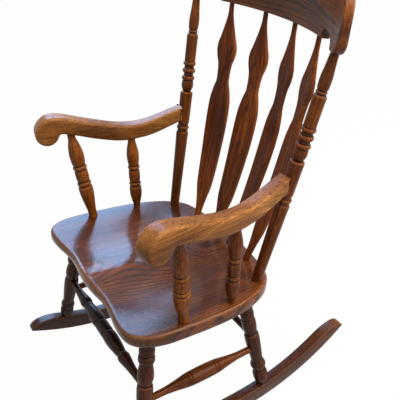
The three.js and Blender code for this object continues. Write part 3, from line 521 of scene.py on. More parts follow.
def oak(name, finish):
    """Stained open-grained oak under a semi-gloss lacquer."""
    material, n = new_material(name)
    grain = n.add("ShaderNodeAttribute", attribute_name="grain").outputs["Vector"]
    edge, end, tone = (
        n.add("ShaderNodeAttribute", attribute_name=key).outputs["Fac"]
        for key in ("edge", "end", "tone")
    )
    axes = n.add("ShaderNodeSeparateXYZ", {"Vector": grain}).outputs
    ring, warp, figure = finish["ring"], finish["warp"], finish["figure"]
    light, middle, dark = (colour(*tint) for tint in finish["stain"])

    # Growth rings round the pith, which wanders along the trunk
    wander = n.math("SUBTRACT", n.noise(grain, WANDER_STRETCH, detail=1.0), NOISE_MIDDLE)
    ripple = n.math("SUBTRACT", n.noise(grain, RIPPLE_STRETCH), NOISE_MIDDLE)
    drift = n.times(wander, warp)
    depth = n.plus(axes["Z"], drift)
    spread = n.plus(axes["Y"], n.times(drift, SIDE_DRIFT_SHARE))
    square = n.plus(n.times(depth, depth), n.times(spread, spread))
    ripple = n.times(ripple, RIPPLE_SHARE * ring)
    radius = n.plus(n.math("SQRT", square), ripple)
    phase = n.math("FRACT", n.math("DIVIDE", radius, ring))
    early = n.times(n.span(phase, *EARLY_RISE), n.span(phase, *EARLY_FALL))
    lengthwise = n.span(end, *LENGTHWISE_SPAN)

    # Open pores: dark dashes along the grain, most of them in each ring's early wood
    dashes = n.span(n.noise(grain, DASH_STRETCH), *DASH_SPAN)
    dashes = n.times(dashes, n.span(early, *DASH_IN_EARLY))
    fine = n.span(n.noise(grain, FINE_STRETCH, detail=1.0), *FINE_SPAN)
    pores = n.math("MAXIMUM", dashes, n.times(fine, FINE_STRENGTH))
    pores = n.times(pores, lengthwise)

    # Stain: streaks along the grain and broad clouds
    streak = n.noise(grain, STREAK_STRETCH, detail=3.0, roughness=STREAK_ROUGHNESS)
    cloud = n.noise(grain, CLOUD_STRETCH, detail=3.0)
    lift = n.times(streak, STREAK_WEIGHT)
    lift = n.plus(lift, n.times(cloud, CLOUD_WEIGHT))
    lift = n.plus(lift, n.times(tone, TONE_WEIGHT))
    mark = n.times(n.times(early, figure), lengthwise)
    lift = n.math("SUBTRACT", lift, mark)
    base = n.mix(n.span(lift, *MIDDLE_SPAN), dark, middle)
    base = n.mix(n.span(lift, *LIGHT_SPAN), base, light)
    base = n.mix(n.times(pores, PORE_STRENGTH), base, PORE)
    # Edges lighter, as wear and as a painted highlight
    base = n.mix(n.times(n.span(edge, *WORN_AND_HIGHLIGHT_SPAN), WORN_AND_HIGHLIGHT_STRENGTH), base, WORN_AND_HIGHLIGHT)
    # Grooves and the crest rail's notches darker, as painted shade
    base = n.mix(n.times(n.span(edge, *PAINTED_SHADE_SPAN), PAINTED_SHADE_STRENGTH), base, PAINTED_SHADE)

    rough = n.plus(n.span(pores, *PORE_ROUGHNESS), n.span(cloud, *CLOUD_ROUGHNESS))
    sunk = n.times(early, -EARLY_SUNK_SHARE)
    height = n.plus(n.times(pores, -1.0), sunk)
    bump = n.add("ShaderNodeBump", {**WOOD_RELIEF, "Height": height})
    lacquer = n.add("ShaderNodeBump", {**LACQUER_RELIEF, "Height": height})
    shader = n.add("ShaderNodeBsdfPrincipled", {
        "Base Color": base,
        "Roughness": rough,
        "IOR": WOOD_IOR,
        "Specular IOR Level": WOOD_SPECULAR,
        "Coat Weight": finish["coat"],
        "Coat Roughness": finish["haze"],
        "Normal": bump.outputs["Normal"],
        "Coat Normal": lacquer.outputs["Normal"],
    })
    n.add("ShaderNodeOutputMaterial", {"Surface": shader.outputs["BSDF"]})
    return material


SCRATCH_STRETCH = (2600.0, 240.0, 2600.0)
SCRATCH_ROUGHNESS = (0.3, 0.7, 0.28, 0.5)
SCRATCH_RELIEF = {"Strength": 0.3, "Distance": 0.0002}
TARNISH_STRETCH = (160.0, 160.0, 160.0)
TARNISH_SPAN = (0.35, 0.7)
STEEL_BRIGHT = colour(150, 147, 140)
STEEL_DULL = colour(104, 100, 94)


def brushed_steel(name):
    material, n = new_material(name)
    place = n.add("ShaderNodeTexCoord").outputs["Object"]
    scratch = n.noise(place, SCRATCH_STRETCH, detail=3.0)
    tarnish = n.noise(place, TARNISH_STRETCH)
    base = n.mix(n.span(tarnish, *TARNISH_SPAN), STEEL_BRIGHT, STEEL_DULL)
    bump = n.add("ShaderNodeBump", {**SCRATCH_RELIEF, "Height": scratch})
    shader = n.add("ShaderNodeBsdfPrincipled", {
        "Base Color": base,
        "Metallic": 1.0,
        "Roughness": n.span(scratch, *SCRATCH_ROUGHNESS),
        "Normal": bump.outputs["Normal"],
    })
    n.add("ShaderNodeOutputMaterial", {"Surface": shader.outputs["BSDF"]})
    return material


# Ring is a growth ring's width, warp is how far the pith wanders, figure is how dark the early
# wood shows, the stain is light, middle and dark, and haze is the lacquer's roughness.
TURNED_GRAIN = {"ring": 0.003, "warp": 0.02, "figure": 0.08}
FINISHES = {
    "oak_seat": {
        "slot": "stained_oak", "ring": 0.0065, "warp": 0.2, "figure": 0.4,
        "stain": ((148, 82, 31), (106, 56, 20), (68, 34, 12)), "coat": 0.45, "haze": 0.12,
    },
    "oak_arm": {
        "slot": "stained_oak", "ring": 0.005, "warp": 0.02, "figure": 0.05,
        "stain": ((206, 144, 76), (164, 106, 52), (116, 69, 32)), "coat": 0.2, "haze": 0.24,
    },
    "oak_rocker": {
        "slot": "stained_oak", "ring": 0.0034, "warp": 0.02, "figure": 0.1,
        "stain": ((112, 62, 26), (80, 42, 17), (50, 25, 10)), "coat": 0.35, "haze": 0.2,
    },
    # The slats' stain is painted lighter, in place of light their front faces don't get
    "oak_slat_painted_lighter": {
        "slot": "stained_oak", "ring": 0.0042, "warp": 0.04, "figure": 0.2,
        "stain": ((182, 98, 34), (138, 67, 19), (92, 41, 11)), "coat": 0.2, "haze": 0.2,
    },
    "oak_crest": {
        "slot": "stained_oak", "ring": 0.0075, "warp": 0.09, "figure": 0.4,
        "stain": ((156, 86, 36), (112, 58, 22), (60, 29, 11)), "coat": 0.35, "haze": 0.2,
    },
    "oak_turned": {
        "slot": "turned_oak", **TURNED_GRAIN,
        "stain": ((174, 100, 35), (128, 67, 20), (84, 41, 11)), "coat": 0.2, "haze": 0.2,
    },
    # The legs' stain is painted darker, as shade under the seat
    "oak_leg_painted_shade": {
        "slot": "turned_oak", **TURNED_GRAIN,
        "stain": ((112, 58, 20), (76, 37, 12), (45, 21, 7)), "coat": 0.25, "haze": 0.18,
    },
    # The front and back stretchers' stain is painted darker still, as shade under the seat
    "oak_painted_shade": {
        "slot": "dark_oak", **TURNED_GRAIN,
        "stain": ((78, 39, 17), (48, 24, 10), (29, 14, 6)), "coat": 0.25, "haze": 0.16,
    },
}
FINISHES["oak_plug"] = {**FINISHES["oak_turned"], "slot": "stained_oak"}

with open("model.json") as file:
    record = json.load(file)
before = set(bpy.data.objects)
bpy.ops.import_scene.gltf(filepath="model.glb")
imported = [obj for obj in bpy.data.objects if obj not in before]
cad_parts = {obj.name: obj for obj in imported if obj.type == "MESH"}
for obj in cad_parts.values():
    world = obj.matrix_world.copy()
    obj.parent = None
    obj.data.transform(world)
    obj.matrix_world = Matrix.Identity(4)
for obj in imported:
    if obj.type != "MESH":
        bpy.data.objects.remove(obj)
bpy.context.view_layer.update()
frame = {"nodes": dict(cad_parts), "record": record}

oaks = {name: oak(name, finish) for name, finish in FINISHES.items()}
steel = brushed_steel("steel_brushed")
SIDES = (("left", 1), ("right", -1))

# Seat
SEAT_OUTLINE_SHARES = [
    (0, 0.0078), (0.161, 0.0145), (0.33, 0.027), (0.495, 0.019), (0.638, 0.0045), (0.76, 0),
    (0.853, 0.01), (0.925, 0.046), (0.971, 0.1), (0.995, 0.18), (1, 0.267), (1, 0.377),
    (0.995, 0.489), (0.982, 0.587), (0.95, 0.699), (0.907, 0.782), (0.864, 0.84), (0.806, 0.893),
    (0.724, 0.937), (0.613, 0.963), (0.434, 0.983), (0.215, 0.997),
]
SEAT_OUTLINE_STEPS = 208
SEAT_INNER_RINGS = 44


def saddle_height(x, y):
    """Two hollows for the thighs, with a low ridge between them that rises to the front."""
    reach = np.exp(-(((y - SADDLE_CENTRE) / SADDLE_LOBE_REACH) ** 4))
    lobes = np.exp(-(((x - SADDLE_SPREAD) / SADDLE_LOBE_WIDTH) ** 2))
    lobes = lobes + np.exp(-(((x + SADDLE_SPREAD) / SADDLE_LOBE_WIDTH) ** 2))
    ridge = np.exp(-((x / POMMEL_WIDTH) ** 2)) * np.exp(-(((y - SEAT_FRONT) / POMMEL_REACH) ** 2))
    return -SADDLE_DEPTH * np.minimum(lobes, 1) * reach + POMMEL_RISE * ridge


def make_seat():
    half = [(x * SEAT_HALF_WIDTH, SEAT_FRONT + y * SEAT_DEPTH) for x, y in SEAT_OUTLINE_SHARES]
    other = [(-x, y) for x, y in reversed(half[1:])]
    outline = smooth_curve([*half, (0.0, SEAT_BACK), *other], SEAT_OUTLINE_STEPS, closed=True)
    normals = inward_normals(outline)
    front = np.clip(1 - (outline[:, 1] - SEAT_FRONT) / SEAT_FRONT_UNDERCUT_REACH, 0, 1)
    inset = SEAT_UNDERCUT_INSET + front * (SEAT_FRONT_UNDERCUT - SEAT_UNDERCUT_INSET)
    rise = SEAT_UNDERCUT_RISE + front * (SEAT_FRONT_UNDERCUT - SEAT_UNDERCUT_RISE)
    bottom = np.full(len(outline), -SEAT_THICKNESS)
    rings = [np.column_stack([outline + inset[:, None] * normals, bottom])]
    edges = [SEAT_UNDERSIDE_WEAR_AND_HIGHLIGHT]
    for turn in np.linspace(0, math.pi / 2, ROUND_STEPS)[1:]:
        plan = outline + ((1 - math.sin(turn)) * inset)[:, None] * normals
        rings.append(np.column_stack([plan, bottom + (1 - math.cos(turn)) * rise]))
        edges.append(0.0)
    for turn in np.linspace(0, math.pi / 2, ROUND_STEPS + 2):
        plan = outline + SEAT_EDGE_ROUND * (1 - math.cos(turn)) * normals
        drop = SEAT_EDGE_ROUND * (1 - math.sin(turn))
        rings.append(np.column_stack([plan, saddle_height(*plan.T) - drop]))
        # The rim's rounding is lightened as wear and as a painted highlight line
        edges.append(SEAT_WEAR_AND_HIGHLIGHT * math.sin(2 * turn))
    rim = rings[-1][:, :2]
    centre = np.array([0.0, SEAT_FRONT + SEAT_DEPTH / 2])
    for share in np.linspace(1, 0, SEAT_INNER_RINGS + 1)[1:-1]:
        plan = centre + (rim - centre) * share
        rings.append(np.column_stack([plan, saddle_height(*plan.T)]))
        edges.append(0.0)
    rings = np.array(rings)
    grain = rings[..., [1, 0, 2]] + vec(*SEAT_IN_TREE)
    add_piece("seat", rings, grain, vec(0, 1, 0), np.array(edges)[:, None], "oak_seat")


# Rockers
ROCKER_TOP_STEPS = 90
ROCKER_NOSE_STEPS = 18


def rocker_point(run, rise):
    """(y, z) at a run along the sole, raised square to it."""
    y, z = ROCKER_LOWEST
    if run <= ROCKER_MIDDLE_RUN:
        radius = ROCKER_FRONT_RADIUS if run < 0 else ROCKER_MIDDLE_RADIUS
        turn = run / radius
        return y + (radius - rise) * math.sin(turn), z + radius - (radius - rise) * math.cos(turn)
    before = ROCKER_MIDDLE_RUN / ROCKER_MIDDLE_RADIUS
    step = ROCKER_MIDDLE_RADIUS - ROCKER_BACK_RADIUS
    turn = before + (run - ROCKER_MIDDLE_RUN) / ROCKER_BACK_RADIUS
    radius = ROCKER_BACK_RADIUS - rise
    return (
        y + step * math.sin(before) + radius * math.sin(turn),
        z + ROCKER_MIDDLE_RADIUS - step * math.cos(before) - radius * math.cos(turn),
    )


def nose_rise(share):
    return ROCKER_HEIGHT - (1 - math.sqrt(1 - share**2)) * ROCKER_NOSE_DROP


def rocker_outline():
    """(run, rise) round a rocker's side."""
    outline = []
    for run in np.linspace(-ROCKER_FRONT_RUN, ROCKER_BACK_RUN, ROCKER_TOP_STEPS):
        outline.append((run, SOLE_LIFT))
    noses = np.sin(np.linspace(0, math.pi / 2, ROCKER_NOSE_STEPS + 2))[1:-1]
    for share in noses[::-1]:
        outline.append((ROCKER_BACK_RUN - (1 - share) * ROCKER_NOSE_LENGTH, nose_rise(share)))
    back, front = ROCKER_BACK_RUN - ROCKER_NOSE_LENGTH, ROCKER_NOSE_LENGTH - ROCKER_FRONT_RUN
    for run in np.linspace(back, front, ROCKER_TOP_STEPS):
        outline.append((run, ROCKER_HEIGHT))
    for share in noses:
        outline.append(((1 - share) * ROCKER_NOSE_LENGTH - ROCKER_FRONT_RUN, nose_rise(share)))
    return np.array(outline)


def make_rockers():
    runs = rocker_outline()
    outline = np.array([rocker_point(run, rise) for run, rise in runs])
    fibre = outline - np.array([rocker_point(run - ROW_SPACING, rise) for run, rise in runs])
    fibre = fibre / np.linalg.norm(fibre, axis=1)[:, None]
    fibre = np.pad(fibre, ((0, 0), (1, 0)))
    plate, edge = rounded_plate(outline, ROCKER_THICKNESS / 2, ROCKER_EDGE_ROUND)
    grain = np.stack(np.broadcast_arrays(runs[:, 0], plate[..., 2], runs[:, 1]), 2)
    for side, sign in SIDES:
        rings = plate[..., [2, 0, 1]] + vec(sign * ROCKER_OFFSET, 0, 0)
        lies = grain + vec(*ROCKER_IN_TREE) + vec(sign, 0, 0)
        add_piece(f"{side}_rocker", rings, lies, fibre, ROCKER_WEAR_AND_HIGHLIGHT * edge, "oak_rocker")


# Turned profiles: shares of the length and of the largest radius, beads as (share of the length,
# half length in metres, share of the radius), and scored lines as shares of the length.

# Legs, from the foot (0) up to the seat (1)
FRONT_LEG_PROFILE = {
    "shares": [
        (0, 0.62), (0.025, 0.78), (0.06, 0.93), (0.095, 0.92), (0.115, 0.78), (0.13, 0.86),
        (0.157, 0.95), (0.185, 0.86), (0.2, 0.75), (0.3, 0.85), (0.4, 0.96), (0.45, 0.98),
        (0.497, 0.94), (0.507, 0.77), (0.54, 0.88), (0.582, 0.98), (0.63, 0.95), (0.685, 0.82),
        (0.705, 0.8), (0.735, 1), (0.765, 0.98), (0.782, 0.8), (0.795, 0.93), (0.83, 0.94),
        (0.85, 0.83), (0.862, 0.9), (0.9, 0.92), (1, 0.88),
    ],
}
REAR_LEG_PROFILE = {
    "shares": [
        (0, 0.6), (0.03, 0.78), (0.075, 0.96), (0.115, 0.98), (0.155, 0.86), (0.17, 0.77),
        (0.2, 0.92), (0.225, 1), (0.25, 0.92), (0.27, 0.74), (0.33, 0.8), (0.42, 0.9),
        (0.52, 0.96), (0.572, 0.93), (0.588, 0.73), (0.62, 0.84), (0.69, 0.93), (0.74, 0.88),
        (0.755, 0.77), (0.775, 0.88), (0.81, 0.9), (0.835, 0.81), (0.85, 0.89), (0.9, 0.9),
        (1, 0.88),
    ],
}


def leg_line(leg, sign):
    foot = vec(sign * ROCKER_OFFSET, *rocker_point(leg["foot_run"], ROCKER_HEIGHT))
    place = in_from_front if leg is FRONT_LEG else in_from_back
    return foot, place(leg["inset"], -SEAT_THICKNESS, sign)


def make_legs():
    for side, sign in SIDES:
        for name, leg, profile in (
            ("front", FRONT_LEG, FRONT_LEG_PROFILE), ("rear", REAR_LEG, REAR_LEG_PROFILE),
        ):
            foot, top = leg_line(leg, sign)
            turned(f"{name}_{side}_leg", foot, top, leg["radius"], profile, "oak_leg_painted_shade")


# Stretchers, from one end to the middle; the other half mirrors it
FRONT_STRETCHER_HALF = {
    "shares": [
        (0, 0.46), (0.05, 0.47), (0.12, 0.56), (0.18, 0.7), (0.215, 0.82), (0.235, 0.86),
        (0.252, 0.8), (0.262, 0.66), (0.3, 0.8), (0.35, 0.94), (0.4, 1), (0.435, 0.96),
        (0.448, 0.84), (0.462, 0.94), (0.5, 0.94),
    ],
    "scores": [0.228, 0.285, 0.425],
}
SIDE_STRETCHER_HALF = {
    "shares": [
        (0, 0.46), (0.05, 0.47), (0.15, 0.5), (0.23, 0.62), (0.3, 0.78), (0.345, 0.9),
        (0.375, 0.95), (0.42, 0.98), (0.5, 1),
    ],
    "scores": [0.357, 0.37, 0.39],
}
BACK_STRETCHER_HALF = {"shares": [(0, 0.78), (0.12, 0.8), (0.3, 0.92), (0.5, 1)]}


def stretcher(name, start, end, radius, half, finish):
    axis = unit(end - start)
    start = start + STRETCHER_TENON_REACH * axis
    end = end - STRETCHER_TENON_REACH * axis
    shares, scores = half["shares"], half.get("scores", [])
    profile = {
        "shares": [*shares, *((1 - run, radius) for run, radius in reversed(shares[:-1]))],
        "scores": [*scores, *(1 - run for run in scores)],
    }
    turned(name, start, end, radius, profile, finish, (STRETCHER_SINK, STRETCHER_SINK))


def on_leg(leg, sign, share_down):
    foot, top = leg_line(leg, sign)
    return top + (foot - top) * share_down


def make_stretchers():
    shares = STRETCHER_LEG_SHARES
    ends = [on_leg(FRONT_LEG, sign, shares["front"]) for _, sign in SIDES]
    # The front and back stretchers take the stain painted darker, as shade under the seat
    stretcher("front_stretcher", *ends, FRONT_STRETCHER_RADIUS, FRONT_STRETCHER_HALF, "oak_painted_shade")
    ends = [on_leg(REAR_LEG, sign, shares["back"]) for _, sign in SIDES]
    stretcher("back_stretcher", *ends, BACK_STRETCHER_RADIUS, BACK_STRETCHER_HALF, "oak_painted_shade")
    for side, sign in SIDES:
        ends = (
            on_leg(FRONT_LEG, sign, shares["side_front"]),
            on_leg(REAR_LEG, sign, shares["side_rear"]),
        )
        name = f"{side}_side_stretcher"
        stretcher(name, *ends, SIDE_STRETCHER_RADIUS, SIDE_STRETCHER_HALF, "oak_turned")


# Crest rail
CREST_PLAIN_STEPS = 40
CREST_NOTCH_STEPS = 14
CREST_END_STEPS = 22
CREST_STATION_GAP = 1e-5


def crest_frame(run):
    turn = run / CREST_PLAN_RADIUS
    out = vec(math.sin(turn), math.cos(turn), 0)
    rise = out * math.sin(CREST_LEAN) + vec(0, 0, math.cos(CREST_LEAN))
    back = out * math.cos(CREST_LEAN) - vec(0, 0, math.sin(CREST_LEAN))
    middle_y = SEAT_BACK + CREST_MIDDLE_BEHIND_SEAT
    origin = vec(0, middle_y - CREST_PLAN_RADIUS, CREST_BOTTOM) + out * CREST_PLAN_RADIUS
    return origin, rise, back


def quarter(radius, overlap):
    """How far a rounded corner of this radius falls away, this far into it."""
    overlap = min(max(overlap, 0), radius)
    return radius - math.sqrt(radius**2 - overlap**2)


def crest_lower(run):
    """The lower edge: a notch that rises steeply and falls gently to the ear at the end."""
    if run <= CREST_NOTCH_START:
        return 0.0
    if run < CREST_NOTCH_TOP:
        share = (CREST_NOTCH_TOP - run) / (CREST_NOTCH_TOP - CREST_NOTCH_START)
        swell = math.sqrt(1 - share**2)
        return CREST_NOTCH_LIFT + (CREST_NOTCH_HEIGHT - CREST_NOTCH_LIFT) * swell
    if run < CREST_NOTCH_END:
        share = (run - CREST_NOTCH_TOP) / (CREST_NOTCH_END - CREST_NOTCH_TOP)
        return (CREST_NOTCH_HEIGHT + CREST_EAR_DROP) * math.sqrt(1 - share**2) - CREST_EAR_DROP
    return quarter(CREST_EAR_ROUND, CREST_EAR_ROUND - (CREST_HALF_RUN - run)) - CREST_EAR_DROP


def crest_upper(run):
    arch = (CREST_HEIGHT - CREST_END_HEIGHT) * (run / CREST_HALF_RUN) ** 2
    return CREST_HEIGHT - arch - quarter(CREST_END_ROUND, CREST_END_ROUND - (CREST_HALF_RUN - run))


def crest_stations():
    quarter_turn = math.pi / 2
    rise = np.cos(np.linspace(0, quarter_turn, CREST_NOTCH_STEPS + 1))[:-1]
    fall = np.sin(np.linspace(0, quarter_turn, CREST_NOTCH_STEPS + 1))
    end = np.sin(np.linspace(0, quarter_turn, CREST_END_STEPS + 1))[1:]
    start = CREST_NOTCH_START + CREST_STATION_GAP
    half = np.concatenate([
        np.linspace(0, CREST_NOTCH_START, CREST_PLAIN_STEPS + 1),
        CREST_NOTCH_TOP + (start - CREST_NOTCH_TOP) * rise,
        CREST_NOTCH_TOP + (CREST_NOTCH_END - CREST_NOTCH_TOP) * fall,
        CREST_NOTCH_END + (CREST_HALF_RUN - CREST_NOTCH_END) * end,
    ])
    return np.concatenate([-half[:0:-1], half])


def crest_section(run):
    """(depth, height, edge) round the rail at a run, from the front's lower corner."""
    low, high = crest_lower(abs(run)), crest_upper(abs(run))
    end = quarter(CREST_EDGE_ROUND, CREST_EDGE_ROUND - (CREST_HALF_RUN - abs(run)))
    half = CREST_THICKNESS / 2 - end
    r = min(CREST_EDGE_ROUND, half)
    corners = [
        (half - r, low + r, -90), (half - r, high - r, 0), (r - half, high - r, 90),
        (r - half, low + r, 180),
    ]
    points = []
    for depth, height, start in corners:
        for turn in np.radians(np.linspace(start, start + 90, ROUND_STEPS + 1)):
            # Rounded edges are lightened as wear and as a painted highlight
            edge = CREST_WEAR_AND_HIGHLIGHT * abs(math.sin(2 * turn))
            # The notch's underside is darkened with painted shade
            if CREST_NOTCH_START < abs(run) < CREST_NOTCH_END:
                edge -= NOTCH_SHADE * max(-math.sin(turn), 0) ** 2
            points.append((depth + r * math.cos(turn), height + r * math.sin(turn), edge))
    points = np.array(points)
    upward = (points[:, 1] - low) / (high - low)
    points[:, 0] -= np.where(points[:, 0] > 0, CREST_BACK_TAPER * upward, 0)
    return points


def make_crest():
    rings, grain, fibres, edges = [], [], [], []
    for run in crest_stations():
        origin, rise, back = crest_frame(run)
        section = crest_section(run)
        rings.append(origin + section[:, :1] * back + section[:, 1:2] * rise)
        grain.append(np.column_stack([np.full(len(section), run), section[:, 1], section[:, 0]]))
        fibres.append([unit(np.cross(back, rise))])
        edges.append(section[:, 2])
    grain = np.array(grain) + vec(*CREST_IN_TREE)
    add_piece("crest_rail", np.array(rings), grain, np.array(fibres), np.array(edges), "oak_crest")


# Back posts, from the seat (0) up to the crest rail (1)
POST_PROFILE = {
    "shares": [
        (0, 0.7), (0.012, 0.75), (0.143, 0.83), (0.215, 0.87), (0.287, 0.92), (0.36, 0.97),
        (0.377, 1), (0.383, 0.96), (0.388, 0.84), (0.425, 0.84), (0.431, 0.93), (0.45, 0.95),
        (0.54, 0.98), (0.571, 1), (0.577, 0.97), (0.583, 0.6), (0.594, 0.8), (0.61, 0.94),
        (0.625, 0.92), (0.637, 0.8), (0.6625, 0.75), (0.6965, 0.76), (0.718, 0.8),
        (0.724, 0.85), (0.815, 0.86), (0.836, 0.88), (0.843, 0.84), (0.85, 0.66), (0.866, 0.62),
        (0.873, 0.74), (0.906, 0.78), (0.95, 0.66), (1, 0.54),
    ],
    "beads": [
        (0.407, 0.0046, 1), (0.6455, 0.0058, 1.02), (0.68, 0.0058, 1.03), (0.7125, 0.005, 1),
        (0.8575, 0.0024, 0.74),
    ],
}


def post_line(sign):
    run = CREST_HALF_RUN - POST_TOP_INSET
    origin, rise, _ = crest_frame(sign * run)
    return in_from_back(POST_INSET, 0, sign), origin + rise * crest_lower(run)


def make_posts():
    for side, sign in SIDES:
        turned(f"{side}_back_post", *post_line(sign), POST_RADIUS, POST_PROFILE, "oak_turned")


# Arm spindles, from the seat (0) up to the arm (1)
FRONT_SPINDLE_PROFILE = {
    "shares": [
        (0, 0.6), (0.07, 0.61), (0.1, 0.66), (0.15, 0.75), (0.22, 0.89), (0.29, 0.98),
        (0.345, 1), (0.365, 0.96), (0.376, 0.8), (0.437, 0.8), (0.448, 0.88), (0.5, 0.92),
        (0.555, 0.89), (0.566, 0.8), (0.628, 0.78), (0.638, 0.9), (0.7, 0.98), (0.74, 1),
        (0.8, 0.92), (0.87, 0.74), (0.93, 0.53), (1, 0.5),
    ],
    "beads": [(0.407, 0.0058, 0.97), (0.597, 0.0058, 0.97)],
    "scores": [0.5],
}
REAR_SPINDLE_PROFILE = {
    "shares": [
        (0, 0.56), (0.055, 0.58), (0.068, 0.65), (0.12, 0.8), (0.19, 0.97), (0.24, 1), (0.3, 0.94),
        (0.317, 0.78), (0.386, 0.78), (0.398, 0.88), (0.465, 0.92), (0.535, 0.88), (0.548, 0.78),
        (0.62, 0.74), (0.632, 0.86), (0.67, 0.92), (0.72, 0.98), (0.76, 0.99), (0.83, 0.9),
        (0.9, 0.72), (0.95, 0.61), (1, 0.6),
    ],
    "beads": [(0.352, 0.0055, 0.97), (0.586, 0.0055, 0.96)],
    "scores": [0.465],
}


def spindle_line(spindle, sign):
    place = in_from_front if spindle is FRONT_SPINDLE else in_from_back
    mark = place(spindle["mark"], ARM_LOW + spindle["rise"], sign)
    return place(spindle["inset"], 0, sign), mark


def make_spindles():
    for side, sign in SIDES:
        for name, spindle, profile in (
            ("front", FRONT_SPINDLE, FRONT_SPINDLE_PROFILE),
            ("rear", REAR_SPINDLE, REAR_SPINDLE_PROFILE),
        ):
            base, top = spindle_line(spindle, sign)
            name = f"{name}_{side}_arm_spindle"
            turned(name, base, top, spindle["radius"], profile, "oak_turned", (SINK, 2 * SINK))


# Arms. Outline points are shares of the arm's run and of its rise, from the post forward
# along the top, round the scroll and back along the underside.
ARM_OUTLINE_SHARES = [
    (0, 0.95), (0.05, 0.885), (0.1, 0.8), (0.165, 0.69), (0.26, 0.555), (0.345, 0.5), (0.455, 0.52),
    (0.595, 0.65), (0.72, 0.795), (0.8, 0.895), (0.858, 0.945), (0.898, 0.945), (0.94, 0.875),
    (0.972, 0.735), (0.995, 0.555), (1, 0.385), (0.99, 0.225), (0.965, 0.1), (0.93, 0.04),
    (0.893, 0.068), (0.865, 0.17), (0.85, 0.295), (0.838, 0.385), (0.798, 0.37), (0.73, 0.295),
    (0.608, 0.14), (0.453, 0), (0.37, -0.005), (0.322, 0.02), (0.245, 0.08), (0.177, 0.175),
    (0.095, 0.33), (0, 0.52),
]
ARM_OUTLINE_STEPS = 220


def arm_axes(sign):
    """Runs along an arm are measured from its rear spindle's mark."""
    rear = spindle_line(REAR_SPINDLE, sign)[1] * (1, 1, 0)
    front = spindle_line(FRONT_SPINDLE, sign)[1] * (1, 1, 0)
    forward = unit(front - rear)
    base, top = post_line(sign)
    post = base + (top - base) * ARM_SCREW_HEIGHT / top[2]
    start = np.dot(post * (1, 1, 0) - rear, forward) + ARM_POST_GAP
    length = np.linalg.norm(front - rear) + ARM_FRONT_REACH - start
    return rear, forward, start, length


def make_arms():
    for side, sign in SIDES:
        rear, forward, start, length = arm_axes(sign)
        inward = unit(np.cross(forward, vec(0, 0, 1))) * sign
        shares = np.array(ARM_OUTLINE_SHARES)
        points = np.column_stack([start + shares[:, 0] * length, ARM_LOW + shares[:, 1] * ARM_RISE])
        outline = smooth_curve(points, ARM_OUTLINE_STEPS)[::-1]
        plate, edge = rounded_plate(outline, ARM_OUTER_HALF_WIDTH, ARM_EDGE_ROUND)
        share = (plate[..., 0] - start) / length
        inner = ARM_INNER_HALF_WIDTH_AT_POST
        inner = inner + share * (ARM_INNER_HALF_WIDTH - ARM_INNER_HALF_WIDTH_AT_POST)
        wide = np.where(plate[..., 2] > 0, inner / ARM_OUTER_HALF_WIDTH, 1)
        plate[..., 2] *= wide
        rings = rear + plate[..., :1] * forward + plate[..., 1:2] * vec(0, 0, 1)
        rings = rings + plate[..., 2:] * inward
        along, aside, above = ARM_IN_TREE
        grain = plate[..., [0, 2, 1]] + vec(sign * along, aside, above - ARM_LOW)
        add_piece(f"{side}_arm", rings, grain, forward, ARM_WEAR_AND_HIGHLIGHT * edge, "oak_arm")


ARM_PLUG_PROFILE = {"shares": [(0, 1), (0.82, 1), (0.93, 0.86), (0.98, 0.55), (1, 0.15)]}


def make_plugs():
    for side, sign in SIDES:
        rear, forward, start, _ = arm_axes(sign)
        base, top = post_line(sign)
        centre = base + (top - base) * ARM_SCREW_HEIGHT / top[2]
        height = ARM_SCREW_HEIGHT - ARM_SCREW_DROP
        tip = rear + (start + ARM_SCREW_REACH) * forward + vec(0, 0, height)
        out = unit(centre - tip)
        back = centre + out * POST_RADIUS * ARM_PLUG_SEAT_SHARE
        floor = back - out * ARM_PLUG_LENGTH
        outer = back + out * ARM_PLUG_CROWN
        name = f"{side}_arm_plug"
        turned(name, floor, outer, ARM_PLUG_RADIUS, ARM_PLUG_PROFILE, "oak_plug", (0, 0))


# Arrow slats. Each row is the share of the height, of the widest width and of the thickness,
# and how far the section is from round to flat.
SLAT_SHARES = [
    (0, 0.25, 1.4, 0), (0.05, 0.34, 1.15, 0.4), (0.1, 0.49, 1, 0.8), (0.162, 0.7, 1, 1),
    (0.25, 0.81, 1, 1), (0.34, 0.89, 1, 1), (0.43, 0.96, 1, 1), (0.5, 0.98, 1, 1), (0.56, 0.94, 1, 1),
    (0.62, 0.74, 1, 1), (0.665, 0.53, 1, 1), (0.7, 0.54, 1, 1), (0.735, 0.61, 1, 1),
    (0.77, 0.8, 1, 1), (0.797, 0.87, 1, 1), (0.82, 0.83, 1, 1), (0.85, 0.67, 1, 0.9),
    (0.885, 0.5, 1, 0.7), (0.92, 0.34, 1, 0.4), (0.96, 0.21, 1, 0), (1, 0.175, 1, 0),
]


def slat_section(half_width, half_depth, flatness):
    """(across, depth, edge) round a slat: a rounded bar that turns round as flatness falls."""
    corner = min(SLAT_CORNER_ROUND, half_depth)
    points = []
    for sign_across, sign_depth, start in ((1, 1, 0), (-1, 1, 90), (-1, -1, 180), (1, -1, 270)):
        for turn in np.radians(np.linspace(start, start + 90, ROUND_STEPS + 1)):
            c, s = math.cos(turn), math.sin(turn)
            flat = (
                sign_across * (half_width - corner) + corner * c,
                sign_depth * (half_depth - corner) + corner * s,
            )
            round_ = half_width * c, half_depth * s
            across, depth = (a * flatness + b * (1 - flatness) for a, b in zip(flat, round_))
            # Flat edges are lightened as wear and as a painted highlight
            points.append((across, depth, SLAT_WEAR_AND_HIGHLIGHT * flatness * abs(math.sin(2 * turn))))
    return np.array(points)


